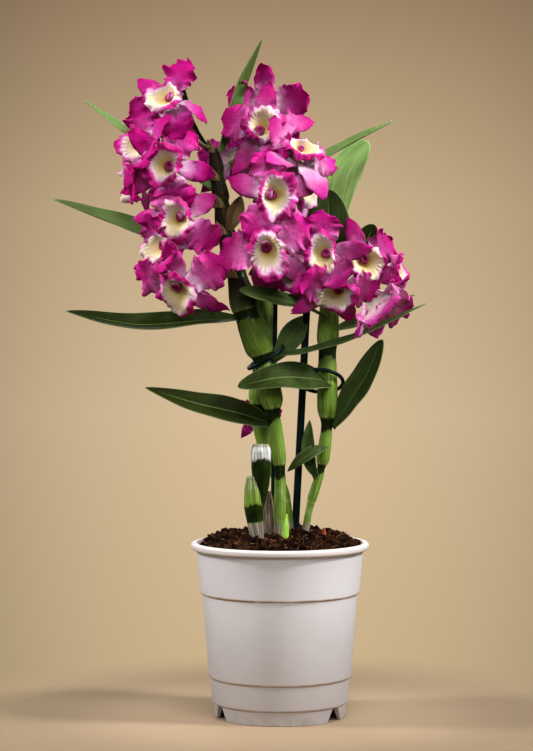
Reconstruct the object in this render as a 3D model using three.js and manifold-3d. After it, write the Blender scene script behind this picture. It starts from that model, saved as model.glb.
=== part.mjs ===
// Potted dendrobium orchid of the nobile type: three flowering canes in a white moulded nursery pot.
// Millimetres, +Z up, +X to the right and -Y to the front. The origin is the middle of the pot's base.

import * as THREE from 'three';
import { mergeVertices } from 'three/addons/utils/BufferGeometryUtils.js';
import Module from 'manifold-3d';

const wasm = await Module();
wasm.setup();

// ---- driving dimensions ----

const clearance = 0.3; // left where one piece presses on another
const smallestShare = 0.55; // a piece that its neighbours trim keeps at least this much of itself

const pot = {
  sides: 24,
  wallSteps: [
    [44, 0], [44.7, 9.5], [45.9, 9.9], [47, 26.6], [48, 27], [52.2, 83], [53.5, 83.5], [56.2, 112.8],
  ],
  rolledRim: [[59.4, 113], [60, 114.2], [60, 116.2], [58.8, 117.4], [56.4, 117.4]],
  rimInside: 54.9,
  rimInsideHeight: 115.6,
  footInside: [42, 0],
  floor: { radius: 42.9, top: 9.4, thickness: 1.6, padRadius: 12, slopeRadius: 19 },
  notch: { angles: [-154, -34, 86], bottomWidth: 17, topWidth: 6, height: 10, from: 30, depth: 20 },
  drain: { radius: 3, circleRadius: 31, count: 6, sides: 6 },
};

const mix = {
  edgeHeight: 115.5, crownHeight: 122, rearRise: 0.07, lumpHeight: 1.3,
  ringShares: [1, 0.84, 0.5, 0], sides: 16,
};

const stakes = [
  { name: 'stake_thick', foot: [5.6, 7.1, 30], head: [20.6, 10.4, 325], radius: 2.5, sides: 10 },
  { name: 'stake_thin', foot: [-6, 3, 40], head: [-2.8, 3, 300], radius: 1.5, sides: 8 },
];

// A ring is an oval of round wire: its middle and its two half axes.
const ringWire = { radius: 1.3, sides: 5, steps: 14 };
const rings = [
  { name: 'ring_left', middle: [-9.5, 2, 242], across: [11.5, -3, 7.5], along: [-1, 20.5, 1] },
  { name: 'ring_right', middle: [27, 4.5, 226], across: [15.5, 0, -1], along: [0, 10.5, -8] },
];

// A cane is a chain of internodes. Each entry is the middle of a node and the cane's radius just above it.
const caneForm = { sides: 7, waist: 0.88, shoulder: 0.35 };
const stalkForm = {
  steps: 3, sides: 4, radius: 1.3, flare: 0.35, outward: 10, rise: 3, behind: 11, sunk: 0.6,
};
const canes = {
  cane_left: [
    [-1, -10, 96, 3.4], [-0.5, -10, 127, 4], [0, -9, 165, 4.6], [-4, -8, 203, 7.5], [-11, -8, 240, 9.5],
    [-22, -8, 270, 9.2], [-29, -6, 298, 7.4], [-36, -3, 327, 6.4], [-39, -1, 345, 5.6], [-42, 0.5, 363, 5],
    [-44.5, 2, 382, 3.4],
  ],
  cane_back: [
    [7.5, 5.5, 96, 3.4], [5, 8, 138, 4.2], [-7, 12, 175, 6], [-14, 12, 205, 7.5], [-10, 12.5, 245, 8],
    [-11, 15, 287, 7.8], [-12, 17, 320, 7], [-13, 18, 350, 6], [-14.5, 18, 375, 5], [-15, 18, 389, 3.6],
  ],
  cane_right: [
    [13, 2, 96, 2.4], [20, 2, 140, 3], [27.5, 2, 166, 4.3], [31.5, 3, 195, 6.8], [32, 6, 245, 7.3],
    [34, 12, 281, 6.8], [39, 16, 321, 4.6],
  ],
};

// Short growths at the foot: rings of middle and radius, from the mix up.
const growths = [
  {
    name: 'cut_cane',
    trunk: [
      [-15, -17, 100, 4.6], [-15, -17, 120, 4.2], [-16.5, -18, 133, 5.6], [-17.5, -18, 142, 6.4],
      [-18, -18.5, 155, 5.6], [-18.5, -19, 163, 3.6],
    ],
    branch: [
      [-14, -17, 142, 3.4], [-12.5, -18, 158, 5.6], [-12.6, -18.5, 168, 6.5], [-12.6, -18.5, 180, 6.7],
      [-12.6, -18.5, 184.5, 5.2],
    ],
  },
  {
    name: 'dead_stub',
    trunk: [
      [-7, -3, 100, 3.4], [-7, -3, 118, 3.8], [-7.6, -2.6, 134, 3.9], [-8, -2.6, 147, 3],
      [-8, -2.6, 152, 1.6],
    ],
  },
  {
    name: 'new_shoot',
    trunk: [[3, -20.5, 104, 2.4], [3, -20.5, 120, 2.9], [3.6, -19.6, 130, 2.4], [4.4, -19, 138, 0.7]],
  },
  {
    name: 'red_bud',
    trunk: [[29.5, -2, 108, 2], [29.5, -2, 119, 2.4], [29.6, -2.2, 122.5, 1.7], [29.8, -2.4, 127, 0.6]],
  },
];

// A leaf follows its path from the cane to its tip. face is the way its upper side looks, at the root and
// at the tip, fold is how far its halves are raised from flat, fullest is where it is widest, and a small
// taper is blunt.
const leafForm = { thickness: 1, rows: 5, rootWidth: 5, tipWidth: 1.2, taper: 0.75 };
const leaves = [
  {
    path: [[-40, 2, 350], [-62, 14, 366], [-90, 22, 383], [-133, 15, 416]],
    face: [[0.3, -0.5, 0.9], [0.5, -0.6, 0.6]], fold: 0.5,
    width: 17, fullest: 0.45,
  },
  {
    path: [[-36, -2, 320], [-62, 2, 317], [-111, 8, 332], [-152, 0, 348]],
    face: [[0, -0.5, 1], [0.1, -0.45, 1]], fold: 0.45,
    width: 25, fullest: 0.5,
  },
  {
    path: [[-22, -7, 268], [-50, -14, 267], [-95, -16, 264], [-143, -8, 273]],
    face: [[0, -0.5, 1], [0, -0.7, 1]], fold: 0.35,
    width: 23, fullest: 0.5,
  },
  {
    path: [[-4, -8, 197], [-27, -16, 205], [-57, -18, 212], [-90, -12, 222]],
    face: [[0.1, -1, 0.5], [0.1, -0.9, 0.9]], fold: 0.3,
    width: 20, fullest: 0.45,
  },
  {
    path: [[-43, 2, 376], [-35, 7, 402], [-28, 8, 425], [-12, 2, 456]],
    face: [[0.9, -0.5, 0], [0.7, -0.7, -0.1]], fold: 0.6,
    width: 15, fullest: 0.45,
  },
  {
    path: [[-44, 2, 377], [-57, 1, 396], [-62, -1, 413], [-66, -4, 433]],
    face: [[-0.7, -0.7, 0], [-0.6, -0.7, 0]], fold: 0.6,
    width: 9, fullest: 0.4,
  },
  {
    path: [[-13, 18, 352], [4, 22, 361], [40, 16, 382], [76, 8, 401]],
    face: [[0, -0.6, 1], [0, -0.5, 1]], fold: 0.5,
    width: 14, fullest: 0.55,
  },
  {
    path: [[38, 18, 306], [38, 24, 338], [46, 27, 368], [60, 25, 389]],
    face: [[-0.3, -1, 0], [-0.4, -0.9, 0.3]], fold: 0.3,
    width: 25, fullest: 0.65, taper: 0.5,
  },
  {
    path: [[37, 12, 290], [35, 6, 314], [33, 4, 334], [32, 5, 355]],
    face: [[-0.2, -1, 0], [-0.1, -1, 0.2]], fold: 0.25,
    width: 30, fullest: 0.6, taper: 0.55,
  },
  {
    path: [[39, 16, 302], [50, 22, 312], [59, 24, 321], [64, 23, 332]],
    face: [[0, -1, 0.2], [0, -1, 0.4]], fold: 0.3,
    width: 18, fullest: 0.6, taper: 0.5,
  },
  {
    path: [[34, 9, 259], [52, 12, 264.5], [72, 10, 273], [91, 8, 284]],
    face: [[0, -0.6, 1], [0, -0.7, 1]], fold: 0.4,
    width: 15, fullest: 0.5,
  },
  {
    path: [[-7, -8, 243], [17, -17, 246], [50, -20, 256], [97, -14, 278]],
    face: [[0, -0.6, 1], [0, -0.5, 1]], fold: 0.4,
    width: 9, fullest: 0.45,
  },
  {
    path: [[33, 6, 268], [13, -13, 277], [-7, -23, 282], [-27, -28, 287]],
    face: [[0, -0.7, 1], [-0.1, -0.8, 1]], fold: 0.3,
    width: 19, fullest: 0.6, taper: 0.6,
  },
  {
    path: [[-7, -5, 236], [2, 0, 248], [9, 5, 258], [18, 10, 270]],
    face: [[0.3, -1, 0.3], [0.2, -1, 0.3]], fold: 0.3,
    width: 17, fullest: 0.6,
  },
  {
    path: [[34, 2, 225], [21, -13, 228], [0, -21, 229], [-28, -24, 223]],
    face: [[0, -1, 0.7], [-0.1, -0.9, 0.9]], fold: 0.25,
    width: 24, fullest: 0.5, taper: 0.5,
  },
  {
    path: [[36, 3, 194], [46, 0, 211], [57, -2, 228], [69, -4, 254]],
    face: [[-0.6, -0.8, 0.5], [-0.5, -0.8, 0.5]], fold: 0.3,
    width: 22, fullest: 0.55, taper: 0.55,
  },
  {
    path: [[25, 1, 160], [20, -6, 172], [19, -8, 186], [20, -7, 200]],
    face: [[-0.1, -1, 0.1], [-0.1, -1, 0.1]], fold: 0.4,
    width: 10, fullest: 0.5,
  },
  {
    path: [[31, 0, 182], [23, -11, 179], [13, -14, 173], [5, -13, 166]],
    face: [[0, -0.7, 1], [0, -1, 0.4]], fold: 0.4,
    width: 10, fullest: 0.4,
  },
];

// The form that every bloom shares. Angles are in degrees: place is counted from the viewer's right, lift
// is how far a sepal or petal leans to the viewer at its root, and curl at its tip. back is how far behind
// the middle it starts.
const flower = {
  thickness: 0.8,
  rootRadius: 3,
  edgeLag: 2, // radians by which the waves of one edge lag behind the other's
  depth: 12, // from the mouth of the lip back to the flower's root
  sepal: {
    length: 35, width: 14.5, rootWidth: 3.6, tipWidth: 1.2, fullest: 0.5, taper: 0.75,
    lift: 14, curl: -40, back: -2.2, cup: 0, wave: 0.7, waves: 1.5, columns: 1,
  },
  petal: {
    length: 31, width: 26, rootWidth: 3.6, tipWidth: 1.2, fullest: 0.6, taper: 0.6,
    lift: 32, curl: -25, back: -0.8, cup: 0.05, wave: 3, waves: 2.2, columns: 2,
  },
  tepalRows: 3,
  sepalPlaces: [90, 230, 310],
  petalPlaces: [18, 162],
  // Core, trumpet lip and column in one outline of [radius, forward]: the back of the flower, the outside of
  // the lip to its brim, which turns back, and inside it the throat and the column.
  cup: [
    [0, -4.2], [3.4, -4.2], [4.4, 0.8], [10.6, 10.8], [14.2, 9],
    [14, 9.9], [10.2, 11.8], [2.8, 2.4], [1.7, 8.6], [0, 9],
  ],
  cupSides: 7,
  brimRadius: 9, // past this radius the lip waves
  lipWave: 1.6,
  lipWaves: 3,
  bends: [0, -14, 14, -28, 28, -42], // degrees at the tip, in the order they are tried
  touch: 0.5, // mm3 of crossing that the trim takes care of
  jammed: 2, // mm3 of crossing past which a sepal or petal is left out, pressed flat between its neighbours
};

// A bloom faces azim degrees right of the front and elev up, and is rolled clockwise as its viewer sees it.
// cane and node say where its stalk grows. folds are the bends that its sepals and petals try first, from
// the upper sepal on.
const blooms = [
  {
    mouth: [-77, -25, 416], azim: -25, elev: 30, roll: 82, size: 0.9, cane: 'cane_left', node: 10,
    folds: [-58, 14, -14, -28, 28],
  },
  { mouth: [-96, -25, 384], azim: -35, elev: 10, roll: 60, size: 0.9, cane: 'cane_left', node: 9 },
  {
    mouth: [-76, -38, 369], azim: -10, elev: 0, roll: 100, size: 0.95, cane: 'cane_left', node: 9,
    folds: [-28, null, null, null, null],
  },
  {
    mouth: [-68, -35, 334], azim: -10, elev: 0, roll: 50, size: 0.9, cane: 'cane_left', node: 8,
    folds: [-28, null, null, -42, null],
  },
  { mouth: [-82, -29, 316], azim: -40, elev: 10, roll: 60, size: 0.85, cane: 'cane_left', node: 7 },
  {
    mouth: [-69, -35, 285], azim: -25, elev: -25, roll: 0, size: 1, cane: 'cane_left', node: 6,
    folds: [null, null, null, -42, null],
  },
  { mouth: [-60, 20, 290], azim: 160, elev: 5, roll: 20, size: 0.75, cane: 'cane_left', node: 6 },
  { mouth: [-103, -8, 362], azim: -65, elev: 0, roll: 30, size: 0.95, cane: 'cane_left', node: 8 },
  { mouth: [-88, 4, 402], azim: -120, elev: 10, roll: 0, size: 0.8, cane: 'cane_left', node: 10 },
  { mouth: [-12, -20, 396], azim: -5, elev: 12, roll: 220, size: 0.95, cane: 'cane_back', node: 9 },
  { mouth: [-9, 16, 411], azim: 178, elev: 10, roll: 0, size: 0.95, cane: 'cane_back', node: 9 },
  { mouth: [16, -25, 383], azim: 35, elev: 45, roll: 30, size: 0.9, cane: 'cane_back', node: 8 },
  { mouth: [-3, -45, 349], azim: 0, elev: 0, roll: -76, size: 1, cane: 'cane_back', node: 7 },
  { mouth: [21, -13, 356], azim: 50, elev: 5, roll: 20, size: 0.95, cane: 'cane_back', node: 7 },
  { mouth: [-9, -45, 312], azim: -10, elev: -5, roll: -12, size: 1, cane: 'cane_back', node: 6 },
  { mouth: [8, -24, 298], azim: 5, elev: -10, roll: 20, size: 0.8, cane: 'cane_back', node: 5 },
  { mouth: [28, -37, 311], azim: 0, elev: 0, roll: 80, size: 0.9, cane: 'cane_right', node: 6 },
  { mouth: [38, -30, 283], azim: 5, elev: -30, roll: 20, size: 0.9, cane: 'cane_right', node: 5 },
  {
    mouth: [57, -25, 306], azim: 5, elev: 5, roll: -25, size: 0.85, cane: 'cane_right', node: 6,
    folds: [-42, null, null, -28, -42],
  },
  { mouth: [81, -11, 299], azim: 65, elev: 5, roll: 0, size: 0.8, cane: 'cane_right', node: 6 },
  {
    mouth: [70, -16, 272], azim: 60, elev: -40, roll: 0, size: 1, cane: 'cane_right', node: 5,
    folds: [42, 42, 42, 28, 28],
  },
  { mouth: [-15, 35, 203], azim: 178, elev: 10, roll: 0, size: 0.5, cane: 'cane_back', node: 3 },
  { mouth: [-30, 22, 376], azim: 172, elev: 10, roll: 0, size: 0.8, cane: 'cane_back', node: 8 },
];

// ---- small tools ----

const point = ([x, y, z]) => new THREE.Vector3(x, y, z);
const radians = THREE.MathUtils.degToRad;
const number = (index) => String(index + 1).padStart(2, '0');

// A repeatable draw between -1 and 1.
function draw(seed, turn) {
  const value = Math.sin(seed * 127.1 + turn * 311.7) * 43758.5453;
  return 2 * (value - Math.floor(value)) - 1;
}

// A closed geometry as a solid whose faces point out.
function solidFrom(geometry) {
  const bare = new THREE.BufferGeometry();
  bare.setAttribute('position', geometry.getAttribute('position'));
  bare.setIndex(geometry.getIndex());
  const merged = mergeVertices(bare, 1e-3);
  const corners = merged.getIndex().array;
  const outward = [];
  const inward = [];
  for (let i = 0; i < corners.length; i += 3) {
    const [a, b, c] = corners.slice(i, i + 3);
    if (a === b || b === c || c === a) continue;
    outward.push(a, b, c);
    inward.push(a, c, b);
  }
  const vertProperties = Float32Array.from(merged.getAttribute('position').array);
  const build = (triangles) => new wasm.Manifold(
    new wasm.Mesh({ numProp: 3, vertProperties, triVerts: Uint32Array.from(triangles) }),
  );
  const solid = build(outward);
  return solid.volume() > 0 ? solid : build(inward);
}

function indexed(vertices, faces) {
  const geometry = new THREE.BufferGeometry();
  const places = vertices.flatMap((v) => v.toArray());
  geometry.setAttribute('position', new THREE.Float32BufferAttribute(places, 3));
  geometry.setIndex(faces);
  return geometry;
}

function geometryFrom(solid, anchor) {
  const mesh = solid.getMesh();
  const geometry = new THREE.BufferGeometry();
  geometry.setAttribute('position', new THREE.Float32BufferAttribute(mesh.vertProperties, 3));
  geometry.setIndex(Array.from(mesh.triVerts));
  geometry.translate(-anchor.x, -anchor.y, -anchor.z);
  geometry.computeVertexNormals();
  return geometry;
}

// A solid turned about the Z axis from the angle spin on. The outline starts and ends on the axis.
function turned(outline, sides, spin = 0, shift = () => 0) {
  const geometry = new THREE.LatheGeometry(outline.map(([r, z]) => new THREE.Vector2(r, z)), sides, spin);
  geometry.rotateX(Math.PI / 2);
  const places = geometry.getAttribute('position');
  for (let i = 0; i < places.count; i += 1) {
    const [x, y, z] = [places.getX(i), places.getY(i), places.getZ(i)];
    places.setZ(i, z + shift(x, y, z));
  }
  return solidFrom(geometry);
}

// A closed round bar through rings of { middle, tangent, radius }, or an endless one.
function bar(ringList, sides, endless = false) {
  const vertices = [];
  const faces = [];
  let side = new THREE.Vector3(0.9, 0.3, 0.2);
  ringList.forEach(({ middle, tangent, radius }) => {
    const up = new THREE.Vector3().crossVectors(tangent, side).normalize();
    side = new THREE.Vector3().crossVectors(up, tangent).normalize();
    for (let k = 0; k < sides; k += 1) {
      const turn = (2 * Math.PI * k) / sides;
      vertices.push(middle.clone().addScaledVector(side, radius * Math.cos(turn))
        .addScaledVector(up, radius * Math.sin(turn)));
    }
  });
  const last = ringList.length - 1;
  const spans = endless ? ringList.length : last;
  for (let i = 0; i < spans; i += 1) {
    const next = (i + 1) % ringList.length;
    for (let k = 0; k < sides; k += 1) {
      const [a, b] = [i * sides + k, i * sides + ((k + 1) % sides)];
      const [c, d] = [next * sides + ((k + 1) % sides), next * sides + k];
      faces.push(a, b, c, a, c, d);
    }
  }
  for (let k = 1; !endless && k < sides - 1; k += 1) {
    faces.push(0, k + 1, k, last * sides, last * sides + k, last * sides + k + 1);
  }
  return solidFrom(indexed(vertices, faces));
}

// Rings on a curve at stations of [curve parameter, radius], grown all round and past both ends.
function ringsAlong(curve, stations, grow) {
  return stations.map(([t, radius], i) => {
    const tangent = curve.getTangent(t);
    const past = i === 0 ? -grow : (i === stations.length - 1 ? grow : 0);
    return { middle: curve.getPoint(t).addScaledVector(tangent, past), tangent, radius: radius + grow };
  });
}

const evenRows = (rows) => Array.from({ length: rows + 1 }, (_, i) => i / rows);

// A thin closed sheet over surface(u, v): u runs through the rows from root to tip, v from -1 to 1 across.
// Both faces are split alike.
function blade(surface, rowPlaces, columns, thickness) {
  const step = 0.02;
  const rows = rowPlaces.length - 1;
  const upper = [];
  const lower = [];
  for (let i = 0; i <= rows; i += 1) {
    for (let j = 0; j <= columns; j += 1) {
      const [u, v] = [rowPlaces[i], (2 * j) / columns - 1];
      const along = surface(Math.min(u + step, 1), v).sub(surface(Math.max(u - step, 0), v));
      const across = surface(u, Math.min(v + step, 1)).sub(surface(u, Math.max(v - step, -1)));
      const normal = along.cross(across).normalize().multiplyScalar(thickness / 2);
      upper.push(surface(u, v).add(normal));
      lower.push(surface(u, v).sub(normal));
    }
  }
  const count = upper.length;
  const at = (i, j) => i * (columns + 1) + j;
  const faces = [];
  for (let i = 0; i < rows; i += 1) {
    for (let j = 0; j < columns; j += 1) {
      const [a, b, c, d] = [at(i, j), at(i + 1, j), at(i + 1, j + 1), at(i, j + 1)];
      faces.push(a, b, c, a, c, d);
      faces.push(count + a, count + c, count + b, count + a, count + d, count + c);
    }
  }
  const edge = [];
  for (let i = 0; i < rows; i += 1) edge.push(at(i, 0));
  for (let j = 0; j < columns; j += 1) edge.push(at(rows, j));
  for (let i = rows; i > 0; i -= 1) edge.push(at(i, columns));
  for (let j = columns; j > 0; j -= 1) edge.push(at(0, j));
  edge.forEach((p, k) => {
    const q = edge[(k + 1) % edge.length];
    faces.push(q, p, count + p, q, count + p, count + q);
  });
  return solidFrom(indexed([...upper, ...lower], faces));
}

// ---- pot and mix ----

function makePot() {
  const { floor, footInside, notch, drain } = pot;
  const underside = floor.top - floor.thickness;
  const outline = [
    [0, 0], [floor.padRadius, 0], [floor.slopeRadius - 1, underside], [footInside[0] - 1.5, underside],
    footInside, ...pot.wallSteps, ...pot.rolledRim, [pot.rimInside, pot.rimInsideHeight],
    [floor.radius, floor.top], [floor.slopeRadius, floor.top], [floor.padRadius + 1, floor.thickness],
    [0, floor.thickness],
  ];
  let solid = turned(outline, pot.sides);
  const gap = new THREE.Shape([
    new THREE.Vector2(-notch.bottomWidth / 2, -1), new THREE.Vector2(notch.bottomWidth / 2, -1),
    new THREE.Vector2(notch.topWidth / 2, notch.height),
    new THREE.Vector2(-notch.topWidth / 2, notch.height),
  ]);
  notch.angles.forEach((angle) => {
    const cutter = new THREE.ExtrudeGeometry(gap, { depth: notch.depth, bevelEnabled: false });
    cutter.rotateX(Math.PI / 2).rotateZ(Math.PI / 2).translate(notch.from, 0, 0).rotateZ(radians(angle));
    solid = solid.subtract(solidFrom(cutter));
  });
  for (let k = 0; k < drain.count; k += 1) {
    const hole = new THREE.CylinderGeometry(drain.radius, drain.radius, 10, drain.sides);
    hole.rotateX(Math.PI / 2).translate(drain.circleRadius, 0, floor.top);
    hole.rotateZ((2 * Math.PI * (k + 0.5)) / drain.count);
    solid = solid.subtract(solidFrom(hole));
  }
  return solid;
}

function mixHeight(x, y) {
  const radius = Math.hypot(x, y);
  const angle = Math.atan2(y, x);
  const reach = Math.min(radius / pot.rimInside, 1);
  const rear = mix.rearRise * y * (1 - 0.6 * reach);
  const crown = (mix.crownHeight - mix.edgeHeight) * (1 - reach ** 3) + rear;
  const lumps = Math.sin(3 * angle + radius / 7) + 0.6 * Math.sin(8 * angle - radius / 5);
  return crown + 2 * mix.lumpHeight * reach * (1.1 - reach) * lumps;
}

function makeMix() {
  const { floor } = pot;
  const lean = (pot.rimInside - floor.radius) / (pot.rimInsideHeight - floor.top);
  const wall = (z) => floor.radius + lean * (z - floor.top) - clearance * 1.2;
  const outline = [
    [0, floor.thickness + clearance], [floor.padRadius + 0.8, floor.thickness + clearance],
    [floor.slopeRadius, floor.top + clearance], [wall(floor.top + clearance), floor.top + clearance],
    [wall(mix.edgeHeight - 2.5), mix.edgeHeight - 2.5],
  ];
  mix.ringShares.forEach((share) => outline.push([(wall(mix.edgeHeight) - 0.6) * share, mix.edgeHeight]));
  return turned(outline, mix.sides, 0, (x, y, z) => (z > mix.edgeHeight - 1 ? mixHeight(x, y) : 0));
}

// ---- stakes and rings ----

function makeStake({ foot, head, radius, sides }, grow) {
  const line = new THREE.LineCurve3(point(foot), point(head));
  return bar(ringsAlong(line, [[0, radius], [0.99, radius], [1, radius * 0.5]], grow), sides);
}

function makeRing({ middle, across, along }, grow) {
  const ringList = [];
  for (let k = 0; k < ringWire.steps; k += 1) {
    const turn = (2 * Math.PI * k) / ringWire.steps;
    const sum = (start, a, b) => start.addScaledVector(point(across), a).addScaledVector(point(along), b);
    const tangent = sum(new THREE.Vector3(), -Math.sin(turn), Math.cos(turn)).normalize();
    const place = sum(point(middle), Math.cos(turn), Math.sin(turn));
    ringList.push({ middle: place, tangent, radius: ringWire.radius + grow });
  }
  return bar(ringList, ringWire.sides, true);
}

// ---- canes ----

function caneCurve(nodes) {
  return new THREE.CatmullRomCurve3(nodes.map(point), false, 'centripetal');
}

function caneStations(nodes) {
  const spans = nodes.length - 1;
  const stations = [];
  nodes.forEach(([, , , radius], k) => {
    const below = nodes[Math.max(k - 1, 0)][3];
    stations.push([k / spans, caneForm.waist * Math.min(below, radius)]);
    if (k === spans) return;
    stations.push([(k + caneForm.shoulder) / spans, radius]);
  });
  return stations;
}

// The stalk of a bloom leaves the cane sideways and ends in the back of the flower.
function makeStalk(bloom, grow) {
  const root = point(canes[bloom.cane][bloom.node]);
  const { forward } = bloomFrame(bloom);
  const back = bloomRoot(bloom);
  const outward = back.clone().sub(root).setZ(0).normalize();
  const curve = new THREE.CatmullRomCurve3([
    root,
    root.clone().addScaledVector(outward, stalkForm.outward).add(new THREE.Vector3(0, 0, stalkForm.rise)),
    back.clone().addScaledVector(forward, -stalkForm.behind),
    back.clone().addScaledVector(forward, -stalkForm.sunk),
  ], false, 'centripetal');
  const stations = evenRows(stalkForm.steps).map((t) => [t, stalkForm.radius * (1 + stalkForm.flare * t)]);
  return bar(ringsAlong(curve, stations, grow), stalkForm.sides);
}

function makeCane(name, grow) {
  const nodes = canes[name];
  const cane = bar(ringsAlong(caneCurve(nodes), caneStations(nodes), grow), caneForm.sides);
  const stalks = blooms.filter((bloom) => bloom.cane === name).map((bloom) => makeStalk(bloom, grow));
  return wasm.Manifold.union([cane, ...stalks]);
}

function makeGrowth({ trunk, branch }, grow) {
  const limbs = [trunk, branch].filter(Boolean).map((table) => {
    const curve = new THREE.CatmullRomCurve3(table.map(point), false, 'centripetal');
    const stations = table.map(([, , , radius], k) => [k / (table.length - 1), radius]);
    return bar(ringsAlong(curve, stations, grow), caneForm.sides);
  });
  return wasm.Manifold.union(limbs);
}

// ---- leaves ----

// Half the width of a blade at u: a root, a swell that is widest at fullest, and a tip.
function halfWidth(u, { width, rootWidth, tipWidth, fullest, taper }) {
  const rise = u ** (Math.log(0.5) / Math.log(fullest));
  const swell = (width / 2) * Math.sin(Math.PI * rise) ** taper;
  return Math.max(swell, (rootWidth / 2) * (1 - u), tipWidth / 2);
}

function makeLeaf(leaf, grow) {
  const curve = new THREE.CatmullRomCurve3(leaf.path.map(point), false, 'centripetal');
  const surface = (u, v) => {
    const tangent = curve.getTangent(u);
    const face = point(leaf.face[0]).lerp(point(leaf.face[1]), u);
    const across = new THREE.Vector3().crossVectors(tangent, face).normalize();
    const normal = new THREE.Vector3().crossVectors(across, tangent).normalize();
    const reach = halfWidth(u, { ...leafForm, ...leaf }) + grow;
    return curve.getPoint(u).addScaledVector(tangent, grow * (2 * u - 1))
      .addScaledVector(across, v * reach * Math.cos(leaf.fold))
      .addScaledVector(normal, Math.abs(v) * reach * Math.sin(leaf.fold));
  };
  return blade(surface, evenRows(leafForm.rows), 2, leafForm.thickness + 2 * grow);
}

// ---- blooms ----

// The directions of a bloom: forward to its viewer, dorsal to its upper sepal, and right.
function bloomFrame({ azim, elev, roll }) {
  const [a, e, r] = [azim, elev, roll].map(radians);
  const forward = new THREE.Vector3(Math.sin(a) * Math.cos(e), -Math.cos(a) * Math.cos(e), Math.sin(e));
  const level = new THREE.Vector3(0, 0, 1).addScaledVector(forward, -Math.sin(e)).normalize();
  const sideways = new THREE.Vector3().crossVectors(level, forward);
  const dorsal = level.clone().multiplyScalar(Math.cos(r)).addScaledVector(sideways, Math.sin(r));
  return { forward, dorsal, right: new THREE.Vector3().crossVectors(dorsal, forward) };
}

function bloomRoot(bloom) {
  return point(bloom.mouth).addScaledVector(bloomFrame(bloom).forward, -flower.depth * bloom.size);
}

// A sepal or petal: its rib is an arc from lift to curl, and its edges wave.
function makeTepal(form, place, seed, bend, grow) {
  const lift = radians(form.lift + 5 * draw(seed, 1) + bend / 2);
  const curl = radians(form.curl + 18 * draw(seed, 2) + bend);
  const turn = radians(place + 7 * draw(seed, 3));
  const length = form.length * (1 + 0.06 * draw(seed, 4));
  const twist = 0.35 * draw(seed, 5);
  const phase = Math.PI * draw(seed, 6);
  const out = new THREE.Vector3(Math.cos(turn), Math.sin(turn), 0);
  const forward = new THREE.Vector3(0, 0, 1);
  const surface = (u, v) => {
    const lean = lift + (curl - lift) * u;
    const run = (length * (Math.sin(lean) - Math.sin(lift))) / (curl - lift);
    const rise = (length * (Math.cos(lift) - Math.cos(lean))) / (curl - lift);
    const tangent = out.clone().multiplyScalar(Math.cos(lean)).addScaledVector(forward, Math.sin(lean));
    const flat = new THREE.Vector3().crossVectors(forward, out);
    const across = flat.applyAxisAngle(tangent, twist * u);
    const normal = new THREE.Vector3().crossVectors(tangent, across);
    const half = halfWidth(u, form) + grow;
    const beat = Math.sin(2 * Math.PI * form.waves * u + phase + (v > 0 ? flower.edgeLag : 0));
    const raised = v * v * (form.cup * half + form.wave * Math.sin(Math.PI * u) * beat);
    return out.clone().multiplyScalar(flower.rootRadius + run + grow * (2 * u - 1))
      .addScaledVector(forward, rise + form.back)
      .addScaledVector(across, v * half).addScaledVector(normal, raised);
  };
  return blade(surface, evenRows(flower.tepalRows), form.columns, flower.thickness + 2 * grow);
}

// The flower's core with its trumpet lip, whose brim waves, and the column inside.
function makeCup(seed, grow) {
  const { cup, cupSides, brimRadius, lipWave, lipWaves } = flower;
  const outside = cup.findIndex(([radius]) => radius === Math.max(...cup.map(([r]) => r)));
  const last = cup.length - 1;
  const outline = cup.map(([radius, forward], k) => {
    if (k === 0 || k === last) return [0, forward + (k ? grow : -grow)];
    const outward = k <= outside || k === last - 1 ? grow : -grow;
    return [radius + outward, forward + (k <= outside ? -grow : grow)];
  });
  const phase = Math.PI * draw(seed, 9);
  return turned(outline, cupSides, 0, (x, y) => {
    const reach = Math.hypot(x, y) / brimRadius;
    return reach > 1 ? lipWave * Math.sin(lipWaves * Math.atan2(y, x) + phase) * (reach - 0.6) : 0;
  });
}

function bloomPlace(bloom) {
  const { forward, dorsal, right } = bloomFrame(bloom);
  const place = new THREE.Matrix4().makeBasis(right, dorsal, forward);
  place.scale(new THREE.Vector3().setScalar(bloom.size));
  return place.setPosition(bloomRoot(bloom)).toArray();
}

// The three sepals and two petals of a bloom as { form, place, seed }.
function tepalsOf(index) {
  const { sepal, petal, sepalPlaces, petalPlaces } = flower;
  const all = [
    ...sepalPlaces.map((place) => [sepal, place]),
    ...petalPlaces.map((place) => [petal, place]),
  ];
  return all.map(([form, place], k) => ({ form, place, seed: (index + 1) * 10 + k }));
}

// Each sepal and petal takes the first bend that keeps it clear of the firmer pieces, or else the one that
// keeps it clearest.
function settleBends(bloom, index, firmer) {
  const place = bloomPlace(bloom);
  return tepalsOf(index).map((tepal, k) => {
    const wanted = bloom.folds?.[k];
    const bends = wanted ? [wanted, ...flower.bends] : flower.bends;
    let best = { crossing: Infinity };
    bends.forEach((bend) => {
      if (best.crossing < flower.touch) return;
      const solid = makeTepal(tepal.form, tepal.place, tepal.seed, bend, 0).transform(place);
      const near = firmer.filter((other) => boxesMeet(other.boundingBox(), solid.boundingBox()));
      const crossing = near.reduce((sum, other) => sum + sharedVolume(solid, other), 0);
      if (crossing < best.crossing) best = { bend, crossing };
      solid.delete();
    });
    return best.crossing < flower.jammed ? best.bend : null;
  });
}

function makeBloom(bloom, index, grow) {
  const spread = grow / bloom.size;
  const tepals = tepalsOf(index).map((tepal, k) => ({ ...tepal, bend: bloom.bends[k] }))
    .filter(({ bend }) => bend !== null)
    .map(({ form, place, seed, bend }) => makeTepal(form, place, seed, bend, spread));
  return wasm.Manifold.union([makeCup(index + 1, spread), ...tepals]).transform(bloomPlace(bloom));
}

// ---- assembly ----

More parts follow.
